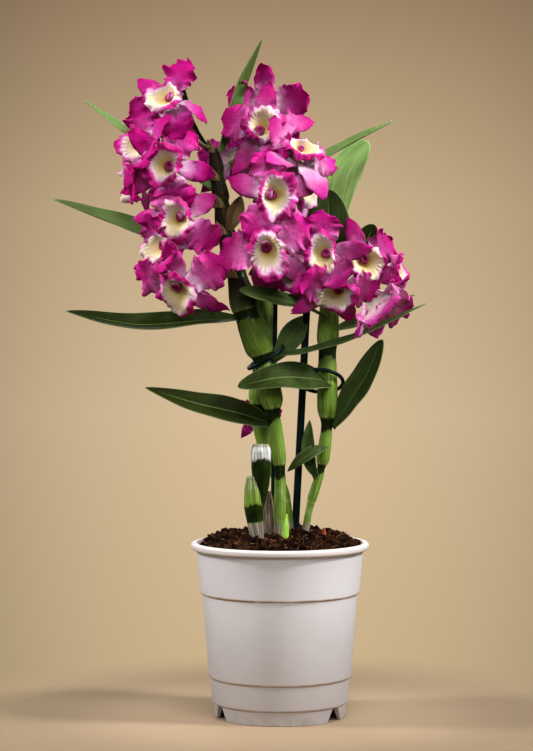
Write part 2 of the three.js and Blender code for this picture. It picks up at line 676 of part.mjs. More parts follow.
const whitePlastic = { color: 0xe4e0df, roughness: 0.45 };
const greenPlastic = { color: 0x10302c, roughness: 0.35 };
const leafGreen = { color: 0x35591f, roughness: 0.45 };
const caneGreen = { color: 0x7d9a45, roughness: 0.55 };
const barkBrown = { color: 0x2c1a12, roughness: 0.95 };
const petalPink = { color: 0xc02a8c, roughness: 0.6 };

// Every piece, the firm ones first: a later piece gives way to the ones before it.
const pieces = [
  { name: 'pot', make: makePot, anchor: [0, 0, 0], look: whitePlastic, fixed: true },
  ...stakes.map((stake) => ({
    name: stake.name,
    make: (grow) => makeStake(stake, grow),
    anchor: stake.foot,
    look: greenPlastic,
    fixed: true,
  })),
  ...rings.map((ring) => ({
    name: ring.name, make: (grow) => makeRing(ring, grow), anchor: ring.middle, look: greenPlastic,
  })),
  ...Object.keys(canes).map((name) => ({
    name, make: (grow) => makeCane(name, grow), anchor: canes[name][0], look: caneGreen,
  })),
  ...growths.map((growth) => ({
    name: growth.name, make: (grow) => makeGrowth(growth, grow), anchor: growth.trunk[0], look: caneGreen,
  })),
  { name: 'potting_mix', make: makeMix, anchor: [0, 0, 0], look: barkBrown },
  ...leaves.map((leaf, k) => ({
    name: `leaf_${number(k)}`, make: (grow) => makeLeaf(leaf, grow), anchor: leaf.path[0], look: leafGreen,
  })),
  ...blooms.map((bloom, k) => ({
    name: `bloom_${number(k)}`,
    settle: (firmer) => { bloom.bends = settleBends(bloom, k, firmer); },
    make: (grow) => makeBloom(bloom, k, grow),
    anchor: bloom.mouth,
    look: petalPink,
  })),
];

function boxesMeet(a, b) {
  return [0, 1, 2].every((k) => a.min[k] < b.max[k] && b.min[k] < a.max[k]);
}

function sharedVolume(solid, other) {
  const shared = solid.intersect(other);
  const volume = shared.volume();
  shared.delete(); // frees its memory
  return volume;
}

// The largest body of a trimmed piece.
function largestBody(name, whole, trimmed) {
  const bodies = trimmed.decompose().sort((a, b) => b.volume() - a.volume());
  if (bodies[0].volume() < smallestShare * whole.volume()) throw new Error(`${name} loses too much`);
  return bodies[0];
}

const orchid = new THREE.Group();
orchid.name = 'potted_dendrobium';
const firmer = [];
pieces.forEach(({ name, make, anchor, look, fixed, settle }) => {
  if (settle) settle(firmer);
  const whole = make(0);
  let solid = whole;
  if (!fixed) {
    firmer.filter((other) => boxesMeet(other.boundingBox(), whole.boundingBox()))
      .forEach((other) => { solid = solid.subtract(other); });
    solid = largestBody(name, whole, solid);
  }
  firmer.push(name === 'pot' ? solid : wasm.Manifold.union([make(clearance), solid]));
  const material = new THREE.MeshStandardMaterial({ ...look, metalness: 0 });
  const mesh = new THREE.Mesh(geometryFrom(solid, point(anchor)), material);
  mesh.name = name;
  mesh.position.copy(point(anchor));
  orchid.add(mesh);
});

export default orchid;
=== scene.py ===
import math
from functools import partial

import bmesh
import bpy
import numpy as np
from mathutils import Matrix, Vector
from mathutils.bvhtree import BVHTree


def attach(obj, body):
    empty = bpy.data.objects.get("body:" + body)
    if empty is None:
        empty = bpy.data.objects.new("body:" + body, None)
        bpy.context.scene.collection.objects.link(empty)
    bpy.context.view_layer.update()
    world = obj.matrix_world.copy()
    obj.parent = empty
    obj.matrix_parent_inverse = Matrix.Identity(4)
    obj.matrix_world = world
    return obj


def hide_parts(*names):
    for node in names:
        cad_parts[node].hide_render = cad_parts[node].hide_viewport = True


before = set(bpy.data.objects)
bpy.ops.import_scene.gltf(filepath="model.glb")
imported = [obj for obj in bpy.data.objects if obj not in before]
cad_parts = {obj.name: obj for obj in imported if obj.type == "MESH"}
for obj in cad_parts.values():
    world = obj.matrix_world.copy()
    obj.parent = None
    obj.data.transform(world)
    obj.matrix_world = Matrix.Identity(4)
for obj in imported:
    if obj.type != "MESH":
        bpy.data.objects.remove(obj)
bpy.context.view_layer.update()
print("frame loaded")

mm = 0.001
fullTurn = 2 * math.pi


# small tools

def draw(seed, turn):  # a repeatable draw between -1 and 1
    value = math.sin(seed * 127.1 + turn * 311.7) * 43758.5453
    return 2 * (value - math.floor(value)) - 1


def linear(hexColour):  # sRGB hex to the linear colour that shaders take
    parts = [int(hexColour[k:k + 2], 16) / 255 for k in (1, 3, 5)]
    return (*[c / 12.92 if c <= 0.04045 else ((c + 0.055) / 1.055) ** 2.4 for c in parts], 1)


def smooth(low, high, value):
    share = np.clip((value - low) / (high - low), 0, 1)
    return share * share * (3 - 2 * share)


def bell(value, middle, width):
    return np.exp(-((value - middle) / width) ** 2)


def unit(vectors):
    return vectors / np.maximum(np.linalg.norm(vectors, axis=-1, keepdims=True), 1e-9)


def anglesRound(count):
    return fullTurn * np.arange(count) / count


def splinePoints(knots, stations):  # centripetal curve through the knots, by knot number
    knots = np.array(knots, float)
    padded = np.vstack([2 * knots[0] - knots[1], knots, 2 * knots[-1] - knots[-2]])
    stations = np.asarray(stations, float)
    index = np.clip(np.floor(stations).astype(int), 0, len(knots) - 2)
    share = (stations - index)[:, None]
    before, start, end, after = (padded[index + k] for k in range(4))
    first, second, third = [np.maximum(np.linalg.norm(b - a, axis=1), 1e-4)[:, None] ** 0.5
                            for a, b in ((before, start), (start, end), (end, after))]
    leave = ((start - before) / first - (end - before) / (first + second) + (end - start) / second) * second
    arrive = ((end - start) / second - (after - start) / (second + third) + (after - end) / third) * second
    square = -3 * start + 3 * end - 2 * leave - arrive
    cube = 2 * start - 2 * end + leave + arrive
    return start + leave * share + square * share ** 2 + cube * share ** 3


# a piece joins closed parts, and each part marks its points for the materials

marks = ("along", "side", "under", "tone", "bright")


def sheetPart(grid, thickness, along, side, tone=0.0, bright=1.0):  # a thickened grid of rows and columns
    rows, columns = grid.shape[:2]
    normals = unit(np.cross(np.gradient(grid, axis=0), np.gradient(grid, axis=1)))
    half = normals * (thickness / 2).reshape(rows, columns, 1)
    at = np.arange(rows * columns).reshape(rows, columns)
    upper = np.stack([at[:-1, :-1], at[1:, :-1], at[1:, 1:], at[:-1, 1:]], axis=-1).reshape(-1, 4)
    rim = np.concatenate([at[:-1, 0], at[-1, :-1], at[:0:-1, -1], at[0, :0:-1]])
    following = np.roll(rim, -1)
    count = rows * columns
    edge = np.stack([following, rim, rim + count, following + count], axis=-1)

    def mark(values):
        return np.tile(np.broadcast_to(values, (rows, columns)).ravel(), 2)

    return {
        "points": np.concatenate([(grid + half).reshape(-1, 3), (grid - half).reshape(-1, 3)]),
        "faces": [*upper.tolist(), *(upper[:, ::-1] + count).tolist(), *edge.tolist()], "material": 0,
        "along": mark(along), "side": mark(side), "under": np.repeat([0.0, 1.0], count), "tone": mark(tone),
        "bright": mark(bright),
    }


def ringPart(rings, material=0, along=0.0, side=0.0, tone=0.0, under=0.0):  # rings closed at both ends
    rows, sides = rings.shape[:2]
    at = np.arange(rows * sides).reshape(rows, sides)
    ahead = np.roll(at, -1, axis=1)
    faces = np.stack([at[:-1], ahead[:-1], ahead[1:], at[1:]], axis=-1).reshape(-1, 4).tolist()
    foot, head = rows * sides, rows * sides + 1
    faces += [[foot, ahead[0, k], at[0, k]] for k in range(sides)]
    faces += [[head, at[-1, k], ahead[-1, k]] for k in range(sides)]

    def mark(values):
        full = np.broadcast_to(values, (rows, sides))
        return np.concatenate([full.ravel(), [full[0].mean(), full[-1].mean()]])

    return {
        "points": np.concatenate([rings.reshape(-1, 3), [rings[0].mean(axis=0), rings[-1].mean(axis=0)]]),
        "faces": faces, "material": material, "along": mark(along), "side": mark(side), "under": mark(under),
        "tone": mark(tone), "bright": mark(1.0),
    }


def tubeRings(centres, radii, sides):  # radii (rows, sides) round a path
    tangents = unit(np.gradient(centres, axis=0))
    across = np.zeros_like(centres)
    start = np.cross(tangents[0], (0.0, 1.0, 0.0))
    for k, tangent in enumerate(tangents):
        start = unit(start - tangent * np.dot(start, tangent))
        across[k] = start
    lift = np.cross(tangents, across)
    turn = anglesRound(sides)[None, :, None]
    spoke = across[:, None] * np.cos(turn) + lift[:, None] * np.sin(turn)
    return centres[:, None] + spoke * np.broadcast_to(radii, (len(centres), sides))[..., None]


def turnedRings(outline, sides):  # an outline of (radius, height) about Z
    outline, turn = np.array(outline, float), anglesRound(sides)
    x, y = outline[:, :1] * np.cos(turn), outline[:, :1] * np.sin(turn)
    return np.stack([x, y, np.broadcast_to(outline[:, 1:], x.shape)], axis=-1)


def newObject(name, data):
    made = bpy.data.objects.new(name, data)
    bpy.context.scene.collection.objects.link(made)
    return made


def faceOutward(mesh, weld=0.0, sharpFrom=None):  # edges that bend more than sharpFrom degrees stay crisp
    work = bmesh.new()
    work.from_mesh(mesh)
    if weld:
        bmesh.ops.remove_doubles(work, verts=work.verts, dist=weld)
    bmesh.ops.recalc_face_normals(work, faces=work.faces)
    if sharpFrom:
        for edge in work.edges:
            edge.smooth = edge.calc_face_angle(0) < math.radians(sharpFrom)
    work.to_mesh(mesh)
    work.free()


def meshObject(name, parts, *materials):
    mesh = bpy.data.meshes.new(name)
    starts = np.cumsum([0, *(len(part["points"]) for part in parts)]).tolist()
    faces = [[k + start for k in face] for part, start in zip(parts, starts) for face in part["faces"]]
    mesh.from_pydata((np.concatenate([part["points"] for part in parts]) * mm).tolist(), [], faces)
    mesh.polygons.foreach_set("material_index", [part["material"] for part in parts for _ in part["faces"]])
    mesh.polygons.foreach_set("use_smooth", [True] * len(faces))
    for mark in marks:
        values = np.concatenate([part[mark] for part in parts]).astype(np.float32)
        mesh.attributes.new(mark, "FLOAT", "POINT").data.foreach_set("value", values)
    for material in materials:
        mesh.materials.append(material)
    faceOutward(mesh)
    return newObject(name, mesh)


def bakedObject(name, source):  # the evaluated source as a plain mesh, in its place
    view = bpy.context.evaluated_depsgraph_get()
    mesh = bpy.data.meshes.new_from_object(source.evaluated_get(view))
    mesh.name = name
    bpy.data.objects.remove(source)
    return newObject(name, mesh)


def settle(piece, slot, *replaced):
    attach(piece, "root")
    if replaced:
        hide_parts(*replaced)
    return piece


# nodes: a shader node goes by its short name, with its operation behind it where it has one. Capitalised
# names are a node's inputs and the others its settings.

def feed(node, *values, **inputs):  # gives each input its link or its value, in their order or by name
    for key, value in [*enumerate(values), *inputs.items()]:
        socket = node.inputs[key if isinstance(key, int) else key.replace("_", " ")]
        if isinstance(value, bpy.types.NodeSocket):
            node.id_data.links.new(value, socket)
        else:
            socket.default_value = linear(value) if isinstance(value, str) else value


def addNode(tree, kind, *values, give=0, stops=(), **named):
    kind, _, operation = kind.partition(" ")
    node = tree.nodes.new(kind if "Node" in kind else "ShaderNode" + kind)
    if operation:
        node.operation = operation
    for name, value in named.items():
        if name[0].islower():
            setattr(node, name, value)
    feed(node, *values, **{name: value for name, value in named.items() if name[0].isupper()})
    if stops:  # of a colour ramp: position and hex colour
        elements = node.color_ramp.elements
        while len(elements) < len(stops):
            elements.new(0.5)
        for element, (position, colour) in zip(elements, stops):
            element.position, element.color = position, linear(colour)
    return node.outputs[give] if node.outputs else node


# materials

soft = {"interpolation_type": "SMOOTHSTEP"}  # a range with soft ends


def newMaterial(name, **inputs):  # the material, what adds nodes to it, and its shader
    material = bpy.data.materials.new(name)
    material.use_nodes = True
    shader = material.node_tree.nodes["Principled BSDF"]
    feed(shader, **inputs)
    return material, partial(addNode, material.node_tree), shader


def veined(add, values, counts, **look):  # noise drawn out along one mark and close across the other
    return add("TexNoise", Vector=add("VectorMath MULTIPLY", add("CombineXYZ", *values), counts), **look)


def layered(add, tint, *layers):  # lays colours over the tint, each by the product of its shares
    for colour, share, *factors in layers:
        for factor in factors:
            share = add("Math MULTIPLY", share, factor)
        tint = add("MixRGB", share, tint, colour)
    return tint


# Injection-moulded polypropylene, white gone faintly grey: satin, with soil in the lines between its steps.
def mouldedPolypropylene():
    material, add, shader = newMaterial("mouldedPolypropylene", IOR=1.49, Roughness=0.45,
                                        Subsurface_Weight=0.08, Subsurface_Scale=0.003)
    place = add("TexCoord", give="Object")
    height = add("SeparateXYZ", place, give="Z")  # metres above the base
    cloud = {"Vector": place, "Roughness": 0.55}
    soil = 0.0
    for line, spread in ((0.0834, 0.0014), (0.0271, 0.0014), (0.0100, 0.0012), (0.1131, 0.0012)):
        away = add("Math ABSOLUTE", add("Math SUBTRACT", height, line))
        soil = add("Math MAXIMUM", soil, add("MapRange", away, spread, 0.0002, **soft))
    broken = add("MapRange", add("TexNoise", Scale=90, Detail=3, **cloud), 0.25, 0.55, 0.45, 1.0, **soft)
    grain = add("TexNoise", Vector=place, Scale=420, Detail=5, Roughness=0.7)
    grain = add("MapRange", grain, 0.66, 0.72, **soft)  # 1 to 2 mm, on the rim and the foot
    nearRim = add("MapRange", height, 0.1152, 0.1172, **soft)
    nearFoot = add("MapRange", height, 0.014, 0.0, **soft)
    nearEither = add("Math MAXIMUM", nearRim, nearFoot)
    haze = add("MapRange", add("TexNoise", Scale=130, Detail=4, **cloud), 0.4, 0.65, **soft)
    tint = add("TexNoise", Scale=26, Detail=4, **cloud)
    tint = add("ValToRGB", tint, stops=[(0.3, "#e4e1e4"), (0.7, "#eeebee")])
    tint = layered(
        add, tint, ("#a07c48", soil, broken), ("#4a3222", grain, nearEither, 0.85),
        ("#948e8e", add("MapRange", height, 0.095, 0.0, 0.0, 0.6, **soft)),  # darker towards the foot: partly dust, partly painted shade
        ("#dfd5d0", add("MapRange", height, 0.1125, 0.1140, **soft)),  # the rim
        ("#9a8f84", add("MapRange", height, 0.012, 0.0, **soft), haze, 0.5))
    feed(shader, Base_Color=tint)
    return material


# Milled bark and coconut fibre: dry, dull, in flakes of many browns.
def barkMaterial(name, dark, light, flakesPerMetre):
    material, add, shader = newMaterial(name, Roughness=0.95, Specular_IOR_Level=0.05)
    place = add("TexCoord", give="Object")
    flake = add("TexNoise", Vector=place, Scale=flakesPerMetre, Detail=5, Roughness=0.7)
    crumb = add("TexNoise", Vector=place, Scale=700, Detail=6, Roughness=0.75)
    feed(shader, Base_Color=add("ValToRGB", flake, stops=[(0.42, dark), (0.64, light)]),
         Normal=add("Bump", Height=crumb, Distance=0.0015, Strength=0.8))
    return material


# Steel wire and tube in a dark green PVC coat: smooth, semi-gloss.
def coatedSteel():
    material, add, shader = newMaterial("coatedSteel", IOR=1.5, Roughness=0.4, Specular_IOR_Level=0.1)
    cloud = {"Vector": add("TexCoord", give="Object"), "Roughness": 0.55}
    tone = add("TexNoise", Scale=70, Detail=3, **cloud)
    ripple = add("TexNoise", Scale=350, Detail=2, **cloud)
    feed(shader, Base_Color=add("ValToRGB", tone, stops=[(0.35, "#030f0e"), (0.7, "#06211f")]),
         Normal=add("Bump", Height=ripple, Distance=0.0002, Strength=0.3))
    return material


# The cane's skin, satin and ribbed. along is 1 on a sheath and 0 on the bare joint, side turns once round and
# under marks the pale teeth where a sheath begins. tone browns it up to 1, and below 0 dries it to paper and
# then to silver.
def caneSkin():
    material, add, shader = newMaterial("caneSkin", IOR=1.42, Subsurface_Weight=0.05, Subsurface_Scale=0.002,
                                        Specular_IOR_Level=0.1)
    sheathed, side, teeth, tone = (add("Attribute", attribute_name=mark, give="Fac") for mark in marks[:4])
    place = add("TexCoord", give="Object")
    height = add("SeparateXYZ", place, give="Z")
    cloud = {"Vector": place, "Roughness": 0.55}
    streak = veined(add, (side, height), (13, 16, 0), Scale=2.6, Detail=3, Roughness=0.6)  # 2 mm apart
    bloomed = add("MapRange", add("TexNoise", Scale=42, Detail=3, **cloud), 0.52, 0.7, **soft)
    green, brown, papery, silver = (add("ValToRGB", streak, stops=stops) for stops in (
        [(0.28, "#48661c"), (0.5, "#627f28"), (0.74, "#96aa58")],
        [(0.30, "#0c0803"), (0.55, "#1b1408"), (0.78, "#463518")],
        [(0.35, "#4e4335"), (0.5, "#857a6a"), (0.66, "#b9b2a2")],
        [(0.34, "#77756c"), (0.5, "#b9b9b3"), (0.66, "#e6e8e4")]))
    joint = add("TexNoise", Scale=120, Detail=3, **cloud)
    joint = add("ValToRGB", joint, stops=[(0.3, "#0e1604"), (0.75, "#1f2e08")])
    dry = add("Math MULTIPLY", tone, -1.0)
    papery = layered(add, papery, (silver, add("Math SUBTRACT", dry, 1.0, use_clamp=True)))
    aged = add("MapRange", height, 0.1325, 0.1275, **soft)  # the sheaths at the mix are dry
    aged = add("Math MAXIMUM", aged, dry, use_clamp=True)
    darkened = add("Math MAXIMUM", tone, 0.0)
    sheath = layered(add, green, ("#a7b184", bloomed, 0.45), (brown, darkened), (papery, aged))
    pale = add("MapRange", streak, 0.40, 0.60, 0.0, 0.7, **soft)
    feed(shader, Base_Color=layered(add, joint, (sheath, sheathed), ("#b9bd72", teeth, pale)),
         Roughness=add("MapRange", sheathed, 0.0, 1.0, 0.3, 0.5, **soft),
         Normal=add("Bump", Height=add("Math MULTIPLY", streak, sheathed), Distance=0.0005, Strength=0.6))
    return material


# A waxy leaf: parallel veins, a pale midrib, duller and paler beneath. tone is its lightness, set blade by
# blade: partly its own colour, partly painted shade and light.
def leafBlade():
    material, add, shader = newMaterial("leafBlade", IOR=1.4, Specular_IOR_Level=0.06)
    along, side, under, tone = (add("Attribute", attribute_name=mark, give="Fac") for mark in marks[:4])
    vein = veined(add, (side, along, tone), (9, 1.6, 7), Scale=3.2, Detail=2, Roughness=0.5)
    cloud = add("TexNoise", Vector=add("TexCoord", give="Object"), Scale=55, Detail=4, Roughness=0.55)
    dark = add("ValToRGB", vein, stops=[(0.3, "#141a03"), (0.7, "#232c08")])
    light = add("ValToRGB", vein, stops=[(0.3, "#7aa248"), (0.7, "#aace80")])
    uneven = add("Math MULTIPLY_ADD", add("Math SUBTRACT", cloud, 0.5), 0.25, tone)
    edge = add("Math ABSOLUTE", side)
    margin = add("MapRange", edge, 0.93, 1.0, **soft)
    rib = add("MapRange", edge, 0.055, 0.0, **soft)
    tint = layered(add, dark, (light, uneven), ("#7f9460", margin, 0.5),
                   ("#84a35c", rib, add("MapRange", along, 0.97, 0.8, **soft), 0.4), ("#56743a", under, 0.5))
    feed(shader, Base_Color=tint, Roughness=add("MapRange", under, 0.0, 1.0, 0.48, 0.65, **soft),
         Normal=add("Bump", Height=vein, Distance=0.0004, Strength=0.5))
    return material


# Petal tissue: thin and soft, it glows where light comes through. along runs from root to tip, tone is how
# pale it is, and the fifth mark scales each bloom's colour up or down: painted light and shade.
def petalTissue():
    material, add, shader = newMaterial("petalTissue", IOR=1.3, Roughness=0.65, Specular_IOR_Level=0.06,
                                        Subsurface_Weight=0.2, Subsurface_Scale=0.001,
                                        Subsurface_Radius=(1.0, 0.2, 0.6))
    along, side, under, tone, bright = (add("Attribute", attribute_name=mark, give="Fac") for mark in marks)
    cloud = {"Vector": add("TexCoord", give="Object"), "Roughness": 0.55}
    vein = veined(add, (side, along), (8, 1.2, 0), Scale=3.0, Detail=2, Roughness=0.5)
    reach = along  # how far out the colour is, made uneven by clouds and veins
    for wander, amount in ((add("TexNoise", Scale=95, Detail=3, **cloud), 0.5), (vein, 0.3)):
        centred = add("Math SUBTRACT", wander, 0.5)
        reach = add("Math MULTIPLY_ADD", centred, amount, reach)
    deep, pale, back, paleBack = (add("ValToRGB", reach, stops=stops) for stops in (
        [(0.16, "#f2d6e6"), (0.29, "#dc92c6"), (0.42, "#c63c9a"), (0.68, "#b80c78"), (1.0, "#bc0e7a")],
        [(0.1, "#f3e4ea"), (0.5, "#e6b4d6"), (0.8, "#cc54ac"), (1.0, "#b82690")],
        [(0.04, "#c3c78c"), (0.22, "#d09abc"), (0.5, "#a8287c"), (1.0, "#980a60")],
        [(0.04, "#bccb70"), (0.26, "#f6efd2"), (0.5, "#f4c0dc"), (0.72, "#cc48a0"), (0.95, "#b01478")]))
    back = layered(add, back, (paleBack, add("MapRange", tone, 0.5, 0.8, **soft)))
    lines = add("MapRange", vein, 0.56, 0.40, **soft)
    blotched = add("MapRange", add("TexNoise", Scale=55, Detail=2, **cloud), 0.46, 0.66, **soft)
    margin = add("MapRange", add("Math ABSOLUTE", side), 0.75, 1.0, **soft)
    outer = add("MapRange", along, 0.2, 0.6, **soft)
    tint = layered(add, deep, (pale, tone), ("#7e0450", lines, 0.34), ("#8e0450", blotched, 0.5),
                   ("#88044a", margin, outer, 0.5), (back, under, 0.75))
    crepe = add("TexNoise", Vector=cloud["Vector"], Scale=230, Detail=3, Roughness=0.6)
    crepe = add("Math MULTIPLY_ADD", crepe, 2.0, vein)
    # each bloom's colour scaled up or down: painted light and shade
    feed(shader, Base_Color=add("VectorMath SCALE", tint, Scale=bright),
         Normal=add("Bump", Height=crepe, Distance=0.0007, Strength=0.7))
    return material


# The lip: thin and soft, a creamy throat in a magenta margin. along runs from the throat (0) over the crest
# (0.7) to the margin (1), side turns once round, tone is a crimson stain.
def lipTissue():
    material, add, shader = newMaterial("lipTissue", IOR=1.3, Roughness=0.65, Specular_IOR_Level=0.15,
                                        Subsurface_Weight=0.5, Subsurface_Scale=0.002,
                                        Subsurface_Radius=(1.0, 0.5, 0.5))
    along, side, under, tone = (add("Attribute", attribute_name=mark, give="Fac") for mark in marks[:4])
    place = add("TexCoord", give="Object")
    ragged = 0.0
    for scale, detail, roughness, amount in ((240, 4, 0.65, 0.34), (65, 1, 0.55, 1.5)):
        wander = add("TexNoise", Vector=place, Scale=scale, Detail=detail, Roughness=roughness)
        centred = add("Math SUBTRACT", wander, 0.5)
        ragged = add("Math MULTIPLY_ADD", centred, amount, ragged)
    outer = add("MapRange", along, 0.3, 0.7, 0.3, 1.0, **soft)
    reach = add("Math MULTIPLY_ADD", ragged, outer, along)
    inside = add("ValToRGB", reach, stops=[
        (0.0, "#bf9f4a"), (0.14, "#d0b877"), (0.34, "#d6c49b"), (0.50, "#d1bea4"), (0.64, "#cfb9b2"),
        (0.73, "#d0a4c0"), (0.82, "#b8468e"), (0.95, "#a40c6a")])
    back = add("ValToRGB", along, stops=[
        (0.1, "#c9c998"), (0.45, "#dcbcca"), (0.8, "#b8509c"), (1.0, "#a42484")])
    vein = veined(add, (side, along), (30, 2, 0), Scale=2.6, Detail=2, Roughness=0.5)
    flutes = add("MapRange", vein, 0.55, 0.35, **soft)
    tint = layered(add, inside, (back, under), ("#b8708c", flutes, 0.14), ("#8c1c56", tone, 0.6))
    feed(shader, Base_Color=tint,
         Normal=add("Bump", Height=vein, Distance=0.0006, Strength=0.7))
    return material


# The column: waxy crimson, with painted shade darkening its hollow (along) and a painted highlight paling its
# brow (side), its lobes lilac (under).
def columnWax():
    material, add, shader = newMaterial("columnWax", IOR=1.42, Roughness=0.7, Specular_IOR_Level=0.06,
                                        Subsurface_Weight=0.15, Subsurface_Scale=0.001)
    shadedHollow, litBrow, lobe, tone = (add("Attribute", attribute_name=mark, give="Fac") for mark in marks[:4])
    cloud = {"Vector": add("TexCoord", give="Object"), "Roughness": 0.55}
    hood, cap = add("TexNoise", Scale=500, Detail=3, **cloud), add("TexNoise", Scale=600, Detail=2, **cloud)
    hood = add("ValToRGB", hood, stops=[(0.35, "#5c042a"), (0.7, "#880c45")])
    cap = add("ValToRGB", cap, stops=[(0.35, "#a04e7c"), (0.7, "#c98bb0")])
    blush = add("MapRange", add("TexNoise", Scale=420, Detail=2, **cloud), 0.35, 0.6, 0.3, 1.0, **soft)
    # painted highlight on the brow, painted shade in the hollow
    feed(shader, Base_Color=layered(add, hood, ("#b3447c", tone, 0.55), ("#cf8fae", litBrow, blush),
                                    ("#33020f", shadedHollow), (cap, lobe)))
    return material


# A bloom's stalk: green to pinkish brown, smooth.
def stalkSkin():
    material, add, shader = newMaterial("stalkSkin", IOR=1.42, Roughness=0.42, Subsurface_Weight=0.1,
                                        Subsurface_Scale=0.0015)
    cloud = add("TexNoise", Vector=add("TexCoord", give="Object"), Scale=45, Detail=3, Roughness=0.55)
    tint = add("ValToRGB", cloud, stops=[(0.3, "#4b3a22"), (0.5, "#6b5a34"), (0.7, "#a08a66")])
    feed(shader, Base_Color=tint)
    return material


# Soft growths near the mix share one recipe: streaks that run up them.
def growthSkin(name, roughness, stops):
    material, add, shader = newMaterial(name, IOR=1.42, Roughness=roughness, Subsurface_Weight=0.1,
                                        Subsurface_Scale=0.0015)
    side = add("Attribute", attribute_name="side", give="Fac")
    height = add("SeparateXYZ", add("TexCoord", give="Object"), give="Z")
    streak = veined(add, (side, height), (11, 30, 0), Scale=2.4, Detail=3, Roughness=0.6)
    feed(shader, Base_Color=add("ValToRGB", streak, stops=stops),
         Normal=add("Bump", Height=streak, Distance=0.0006, Strength=0.7))
    return material


skins = {
    "pot": mouldedPolypropylene(),
    "mix": barkMaterial("barkMix", "#030201", "#1a1008", 260),
    "chips": barkMaterial("barkChips", "#030101", "#3e2210", 140),
    "fibres": barkMaterial("coirFibres", "#4a2512", "#bd8a55", 60),
    "steel": coatedSteel(),
    "cane": caneSkin(),
    "leaf": leafBlade(),
    "petal": petalTissue(),
    "lip": lipTissue(),
    "column": columnWax(),
    "stalk": stalkSkin(),
    "husk": growthSkin("dryHusk", 0.7, [(0.35, "#2e2119"), (0.5, "#5f4b3b"), (0.68, "#93826f")]),
    "scale": growthSkin("dryScale", 0.7, [(0.3, "#3a2b15"), (0.5, "#665028"), (0.7, "#94794a")]),
    "shoot": growthSkin("freshShoot", 0.4, [(0.3, "#6fa52c"), (0.7, "#a9cf55")]),
    "bud": growthSkin("budScale", 0.45, [(0.3, "#6a2412"), (0.7, "#b4512c")]),
}
print("materials ready")

# pot: the same steps as the frame's, with its corners eased

potSize = {
    "sides": 144,
    "wall": [(44, 0.3), (44.7, 9.5), (45.9, 9.9), (47, 26.6), (48, 27), (52.2, 83), (53.5, 83.5),
             (56.2, 112.8)],
    "rim": [(59.4, 113), (60, 114.2), (60, 116.2), (58.8, 117.4), (56.4, 117.4), (54.9, 115.6)],
    "inside": [(42.9, 9.4), (19, 9.4), (13, 1.6), (0.5, 1.6)],
    "under": [(0.5, 0), (12, 0), (18, 7.8), (40.5, 7.8), (42, 0), (43.6, 0)],
    "ease": 0.35,  # how far a corner is rounded
    "notchAngles": [-154, -34, 86], "notchBottom": 17, "notchTop": 6, "notchHeight": 10,
    "notchReach": (30, 52), "drainRadius": 3, "drainCircle": 31, "drainCount": 6, "drainReach": (4, 14),
    "sharpFrom": 38,  # degrees between faces
}


def easedOutline(outline, ease):  # each corner becomes a short curve
    corners = np.array(outline, float)
    made = [corners[0]]
    for before, corner, after in zip(corners, corners[1:], corners[2:]):
        back, on = before - corner, after - corner
        reach = min(ease, 0.4 * np.linalg.norm(back), 0.4 * np.linalg.norm(on))
        for share in (0, 0.25, 0.5, 0.75, 1):
            made.append(corner + reach * (unit(back) * (1 - share) ** 2 + unit(on) * share ** 2))
    return [*made, corners[-1]]


def potCutters(size):  # the notches in the foot and the drain holes: rings along X, and the angle for each
    half, top, rise = size["notchBottom"] / 2, size["notchTop"] / 2, size["notchHeight"]
    lean = (half - top) / (rise + 1)
    profile = [(-half, -1), (-top - lean, rise - 1), (-top + 0.4, rise - 0.2)]
    profile += [(-x, z) for x, z in profile[::-1]]
    notch = np.array([[(reach, x, z) for x, z in profile] for reach in size["notchReach"]], float)
    drain = turnedRings([(size["drainRadius"], height) for height in size["drainReach"]], 24)
    drain += [size["drainCircle"], 0, 0]
    step = fullTurn / size["drainCount"]
    return [*((notch, math.radians(angle)) for angle in size["notchAngles"]),
            *((drain, step * (k + 0.5)) for k in range(size["drainCount"]))]


def makePot(size):
    outline = easedOutline([*size["under"], *size["wall"], *size["rim"], *size["inside"]], size["ease"])
    body = meshObject("potBody", [ringPart(turnedRings(outline, size["sides"]))], skins["pot"])
    tools = []
    for rings, angle in potCutters(size):
        c, s = math.cos(angle), math.sin(angle)
        tools.append(meshObject("cutter", [ringPart(rings @ np.array([(c, s, 0), (-s, c, 0), (0, 0, 1)]))]))
        cut = body.modifiers.new("cut", "BOOLEAN")
        cut.operation, cut.object, cut.solver = "DIFFERENCE", tools[-1], "MANIFOLD"
    pot = bakedObject("nurseryPot", body)
    for tool in tools:
        bpy.data.objects.remove(tool)
    faceOutward(pot.data, 1e-6, size["sharpFrom"])
    settle(pot, "pot", "pot")


makePot(potSize)
print("pot made")

# potting mix: a mound with bits strewn on it

mixSize = {
    "edgeHeight": 115.5, "crownHeight": 122, "rearRise": 0.07, "lump": 1.5, "crumb": 1.6, "rimRadius": 54.9,
    "radius": 54.3, "foot": 43.2, "floor": 9.9, "rings": 46, "sides": 120,
}
strewn = {  # skin, how many bits, their length in mm, thickness as a share of it, lean, bend and seed
    "barkChips": ("chips", 560, 8, 0.26, 0.6, 0.25, 3),
    "barkCrumbs": ("mix", 800, 2.4, 0.34, 1.2, 0.3, 5),
    "coirFibres": ("fibres", 420, 14, 0.017, 0.4, 0.6, 8),
    "mossSprigs": ("shoot", 26, 6, 0.05, 0.9, 0.5, 12),
}


